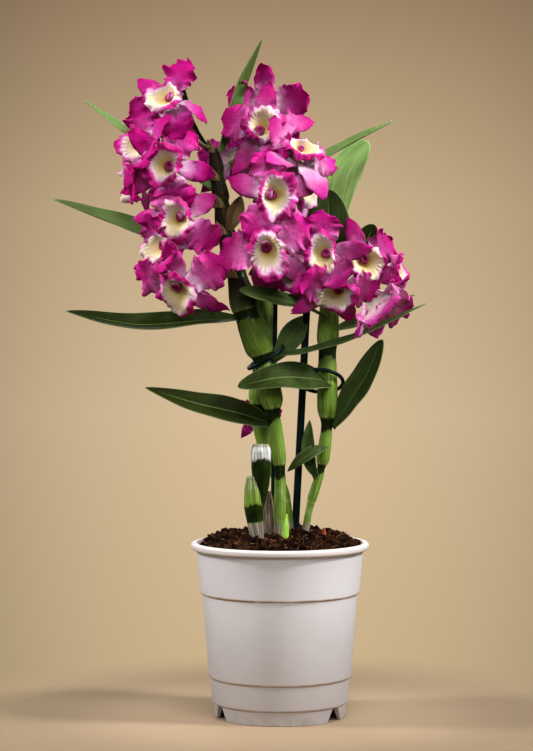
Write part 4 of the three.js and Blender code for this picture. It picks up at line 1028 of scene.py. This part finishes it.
def lipPart(bloom, index):  # a trumpet: up its back, over the frilled margin and down into the throat
    back, backSteps = evenOutline(flower["lipBack"], 14)
    front, frontSteps = evenOutline(flower["lipFront"], 26)
    outline = np.concatenate([[(0.3, -4.2)], back, front[::-1], [(0.3, 5.3)]])
    along = np.concatenate([[0], backSteps, frontSteps[::-1], [0]])[:, None]
    under = np.concatenate([np.ones(len(back) + 1), np.zeros(len(front) + 1)])[:, None]
    rings = turnedRings(outline, flower["lipSides"])
    turn = anglesRound(flower["lipSides"])
    radius = outline[:, :1]
    reach = radius / flower["brimRadius"]
    phase, second, third = (math.pi * draw(index + 1, k) for k in (9, 10, 11))
    outer = smooth(1.05, 1.6, reach)
    wave = flower["lipWave"] * np.sin(flower["lipWaves"] * turn + phase)
    wave = wave * np.clip(reach - 0.6, 0, None) * smooth(0.8, 1.1, reach)
    frill = 1.9 * np.sin(5 * turn + second) + 1.2 * np.sin(9 * turn + third) + 0.6 * np.sin(17 * turn - phase)
    crest = (0.45 * np.sin(22 * turn + third) + 0.3 * np.sin(31 * turn)) * bell(radius, 9.6, 0.9)
    lower, upper = np.clip(-np.sin(turn), 0, 1) ** 1.5, np.clip(np.sin(turn), 0, 1) ** 2
    wander = 0.10 * np.sin(2 * turn + second) + 0.04 * np.sin(5 * turn + third)
    wide, tall = bloom["lip"]
    stretch = 1 + (0.20 * lower - 0.14 * upper + wander) * smooth(0.4, 1.2, reach)
    shape = wide * np.cos(turn) ** 2 + tall * np.sin(turn) ** 2
    stretch = stretch * (1 + (shape - 1) * smooth(0.3, 1.0, reach))
    stretch = stretch + (0.05 * np.sin(7 * turn + third) + 0.035 * np.sin(17 * turn + phase)) * outer
    rings[..., :2] *= stretch[..., None]
    rings[..., 2] += wave + crest + (frill - 1.6 * upper - 0.8 * lower) * outer
    stain = bell(along, 0.16, 0.1) * np.clip(np.sin(turn), 0, 1) * (1 - under)
    return ringPart(placed(rings, bloom), 1, along, turn / fullTurn, stain, under)


def columnParts(bloom, index):  # a rounded head with a hollowed face, and the two pale lobes that lie in it
    foot, lean, lobe = np.array(flower["columnFoot"]), flower["columnLean"], flower["lobe"]
    rings = turnedRings(flower["column"], flower["columnSides"])
    turn = anglesRound(flower["columnSides"])
    x, y, z = (rings[..., k] for k in range(3))
    middle = -0.9 + 0.4 * draw(index, 33)
    # the hollow is dented into the face and darkened with painted shade; the brow, its upper rim, gets a
    # painted highlight
    shadedHollow = bell(np.hypot(0.8 * (x - 0.5 * draw(index, 34)), y - middle), 0, 1.35) * smooth(8.6, 9.6, z)
    litBrow = smooth(0.2, 1.6, y) * smooth(8.4, 10.2, z)
    z -= 1.5 * shadedHollow + 1.3 * smooth(0.2, 0.9, -np.sin(turn)) * smooth(7, 8, z)
    x *= 1.0 + 0.06 * np.sin(3 * turn + index) + 0.04 * np.sin(5 * turn + 2 * index)
    y[:] = y * (1 + 0.06 * np.sin(2 * turn + index)) + 0.9 + lean * (z - foot[2])
    rings = (rings - foot) * bloom["column"] + foot
    parts = [ringPart(placed(rings, bloom), 2, 0.65 * shadedHollow, 0.8 * litBrow, 0.5 + 0.5 * draw(index, 31))]
    tilt = (np.linspace(-0.97, 0.97, lobe["rows"]) * np.pi / 2)[:, None]
    turn = anglesRound(lobe["sides"])
    for way in (-1, 1) if bloom["lobed"] else ():
        x, y, z = (half * shape for half, shape in zip(lobe["half"], (
            np.sin(tilt) * np.ones_like(turn), np.cos(tilt) * np.cos(turn), np.cos(tilt) * np.sin(turn))))
        z += lobe["height"]
        y += way * lobe["aside"] + 0.6 + lean * (z - foot[2])
        parts.append(ringPart(placed(np.stack([x, y, z], axis=-1), bloom), 2, under=1.0))
    return parts


def bloomParts(bloom, index):
    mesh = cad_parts[f"bloom_{index + 1:02d}"].data
    surface = BVHTree.FromPolygons([v.co for v in mesh.vertices], [p.vertices for p in mesh.polygons])
    tone = bloom.get("pale", 0.1 + 0.1 * draw(index, 4))
    parts = []
    for k, (kind, angle) in enumerate(flower["tepals"]):
        form, seed = dict(flower[kind]), (index + 1) * 10 + k
        form["width"] *= bloom[kind]
        form["length"] *= bloom["longer"]
        bend = bloom["bends"][k] if bloom["bends"] else bendOf(bloom, surface, form, angle, seed)
        u, v = np.linspace(0, 1, form["rows"]) ** 0.9, np.linspace(-1, 1, form["columns"] + 1)
        grid = placed(tepalGrid(form, angle, seed, bend, u, v), bloom)
        thickness = np.outer(np.ones_like(u), flower["thickness"] * (1 - 0.3 * np.abs(v)))
        parts.append(sheetPart(grid, thickness, u[:, None], v, tone + 0.08 * draw(seed, 8), bloom["bright"]))
    return [*parts, lipPart(bloom, index), *columnParts(bloom, index)]


tissues = [skins[name] for name in ("petal", "lip", "column")]
for index, bloom in enumerate(blooms):
    name = f"bloom_{index + 1:02d}"
    settle(meshObject(name + "Flower", bloomParts(bloom, index), *tissues), "petal", name)
print("blooms made")

# stalks from the canes' nodes to the backs of the blooms, and the dry scales where they start

stalkForm = {"radius": 1.3, "flare": 0.35, "outward": 10, "rise": 3, "behind": 11, "sunk": 0.6, "steps": 24,
             "sides": 14}
bractForm = {"length": 9, "below": 3, "spread": 1.1, "lift": 1.2, "gap": 0.5, "thickness": 0.35, "rows": 14,
             "columns": 10}
looseSheath = {"path": [(-35, -6, 322), (-33, -9, 331), (-30, -9, 340), (-26, -8, 350)],
               "face": [(0.3, -1, 0.1), (0.5, -1, 0)], "fold": 0.5, "width": 13, "fullest": 0.62, "tone": 0}


def stalkRoot(bloom):
    return np.array(canes[bloom["cane"]][bloom["node"]][:3], float)


def stalkLine(bloom, form):
    root, back, forward = stalkRoot(bloom), bloomRoot(bloom), bloomFrame(bloom)[0]
    outward = unit((back - root) * [1, 1, 0])
    knots = [root, root + outward * form["outward"] + [0, 0, form["rise"]], back - forward * form["behind"],
             back - forward * form["sunk"]]
    share = np.linspace(0, 1, form["steps"])
    ovary, joint = 0.45 * bell(share, 0.86, 0.09), 0.25 * bell(share, 0.06, 0.05)
    return splinePoints(knots, share * 3), 1 + form["flare"] * share + ovary + joint


def bractPart(bloom, form):
    root, radius = stalkRoot(bloom), 0.95 * canes[bloom["cane"]][bloom["node"]][3]
    toward = bloomRoot(bloom) - root
    u, v = np.linspace(0, 1, form["rows"])[:, None], np.linspace(-1, 1, form["columns"] + 1)[None]
    angle = math.atan2(toward[1], toward[0]) + form["spread"] * v * (1 - u ** 2.2) + 0.1
    reach = radius + form["gap"] + form["lift"] * u ** 2 * (1 - 0.4 * v ** 2)
    rise = form["length"] * u - form["below"] + 0 * v
    grid = root + np.stack([reach * np.cos(angle), reach * np.sin(angle), rise], axis=-1)
    return sheetPart(grid, np.full(angle.shape, form["thickness"]), u, v * 0.2)


bracts = [bractPart(bloom, bractForm) for bloom in blooms]
settle(meshObject("dryBracts", [*bracts, leafPart(looseSheath, 40)], skins["scale"]), "husk")
for name in canes:
    lines = [stalkLine(bloom, stalkForm) for bloom in blooms if bloom["cane"] == name]
    settle(makeBars(name + "Stalks", lines, stalkForm["radius"], stalkForm["sides"], "stalk"), "cane")
print("stalks made")

# stage: a paper floor that fades into the air, five lamps and the camera

stage = {
    "floor": "#b49b7e", "floorRadius": 1500, "fade": (0.09, 0.28),  # millimetres, and metres from the middle
    "below": "#524a3e", "above": "#cecece", "strength": 0.66,  # the soft light on the object
    "backdrop": [(-0.17, "#c3ab85"), (-0.05, "#d0b793"), (0.04, "#c3aa86"), (0.13, "#998063")],  # by height
    "brightest": 1.09, "dimmest": 0.75, "dimming": -22,  # the backdrop, from its middle to its sides
}
lamps = {  # place and height of the target in metres, size, watts, and the cone of a spot in degrees
    "keyRight": ((1.05, -0.3, 1.0), 0.32, 0.3, 122, 30),
    "edgeLeft": ((-1.1, -0.1, 0.95), 0.32, 0.35, 90, 30),
    "top": ((0.1, -0.5, 1.4), 0.35, 0.35, 7, None),
    "front": ((0.1, -1.3, 0.9), 0.3, 0.5, 34, 30),
    "back": ((-0.2, 1.2, 1.1), 0.3, 0.5, 26, 30),
}
view = {"lens": 110.25, "sensor": 36, "near": 0.05, "far": 40, "place": (0, -1.547, 0.2805), "down": 1.88,
        "left": 0.336}


def makeFloor(look):
    material, add, shader = newMaterial("paperFloor", Base_Color=look["floor"], Roughness=0.9,
                                        Specular_IOR_Level=0.1)
    away = add("VectorMath LENGTH", add("TexCoord", give="Object"), give="Value")
    faded = add("MapRange", away, *look["fade"], **soft)
    feed(material.node_tree.nodes["Material Output"],
         add("MixShader", faded, shader.outputs[0], add("BsdfTransparent")))
    outline = [(0.3, -1), (look["floorRadius"], -1), (look["floorRadius"], 0), (0.3, 0)]
    floor = meshObject("floor", [ringPart(turnedRings(outline, 96))], material)


def makeAir(look):
    world = bpy.data.worlds.new("air")
    bpy.context.scene.world = world
    world.use_nodes = True
    add, nodes = partial(addNode, world.node_tree), world.node_tree.nodes
    way = add("TexCoord", give="Generated")
    aside, up = (add("SeparateXYZ", way, give=axis) for axis in "XZ")
    even = add("MapRange", up, -0.25, 0.3, **soft)
    even = add("ValToRGB", even, stops=[(0, look["below"]), (1, look["above"])])
    feed(nodes["Background"], Color=even, Strength=look["strength"])
    low, high = look["backdrop"][0][0], look["backdrop"][-1][0]
    level = add("Math DIVIDE", add("Math SUBTRACT", up, low), high - low, use_clamp=True)
    stops = [((z - low) / (high - low), colour) for z, colour in look["backdrop"]]
    paper = add("ValToRGB", level, stops=stops)
    dimmed = add("Math MULTIPLY_ADD", add("Math POWER", aside, 2.0), look["dimming"], look["brightest"])
    dimmed = add("Math MAXIMUM", dimmed, look["dimmest"])
    seen = add("Background", Color=paper, Strength=dimmed)
    eye = add("LightPath", give="Is Camera Ray")
    feed(nodes["World Output"], add("MixShader", eye, nodes["Background"].outputs[0], seen))


def addLamp(name, place, target, size, power, cone):
    data = bpy.data.lights.new(name, "SPOT" if cone else "AREA")
    data.energy = power
    if cone:
        data.shadow_soft_size, data.spot_size, data.spot_blend = size / 2, math.radians(cone), 1
    else:
        data.shape, data.size = "DISK", size
    lamp = newObject(name, data)
    lamp.location = place
    lamp.rotation_euler = (Vector((0, 0, target)) - Vector(place)).to_track_quat("-Z", "Y").to_euler()


def addCamera(look):
    data = bpy.data.cameras.new("camera")
    data.lens, data.sensor_width = look["lens"], look["sensor"]
    data.clip_start, data.clip_end = look["near"], look["far"]
    camera = newObject("camera", data)
    camera.location = look["place"]
    camera.rotation_euler = (math.radians(90 - look["down"]), 0, math.radians(look["left"]))
    bpy.context.scene.camera = camera
    bpy.context.scene.view_settings.view_transform = "Standard"


makeFloor(stage)
makeAir(stage)
for name, lamp in lamps.items():
    addLamp(name, *lamp)
addCamera(view)
print("stage, lights and camera ready")
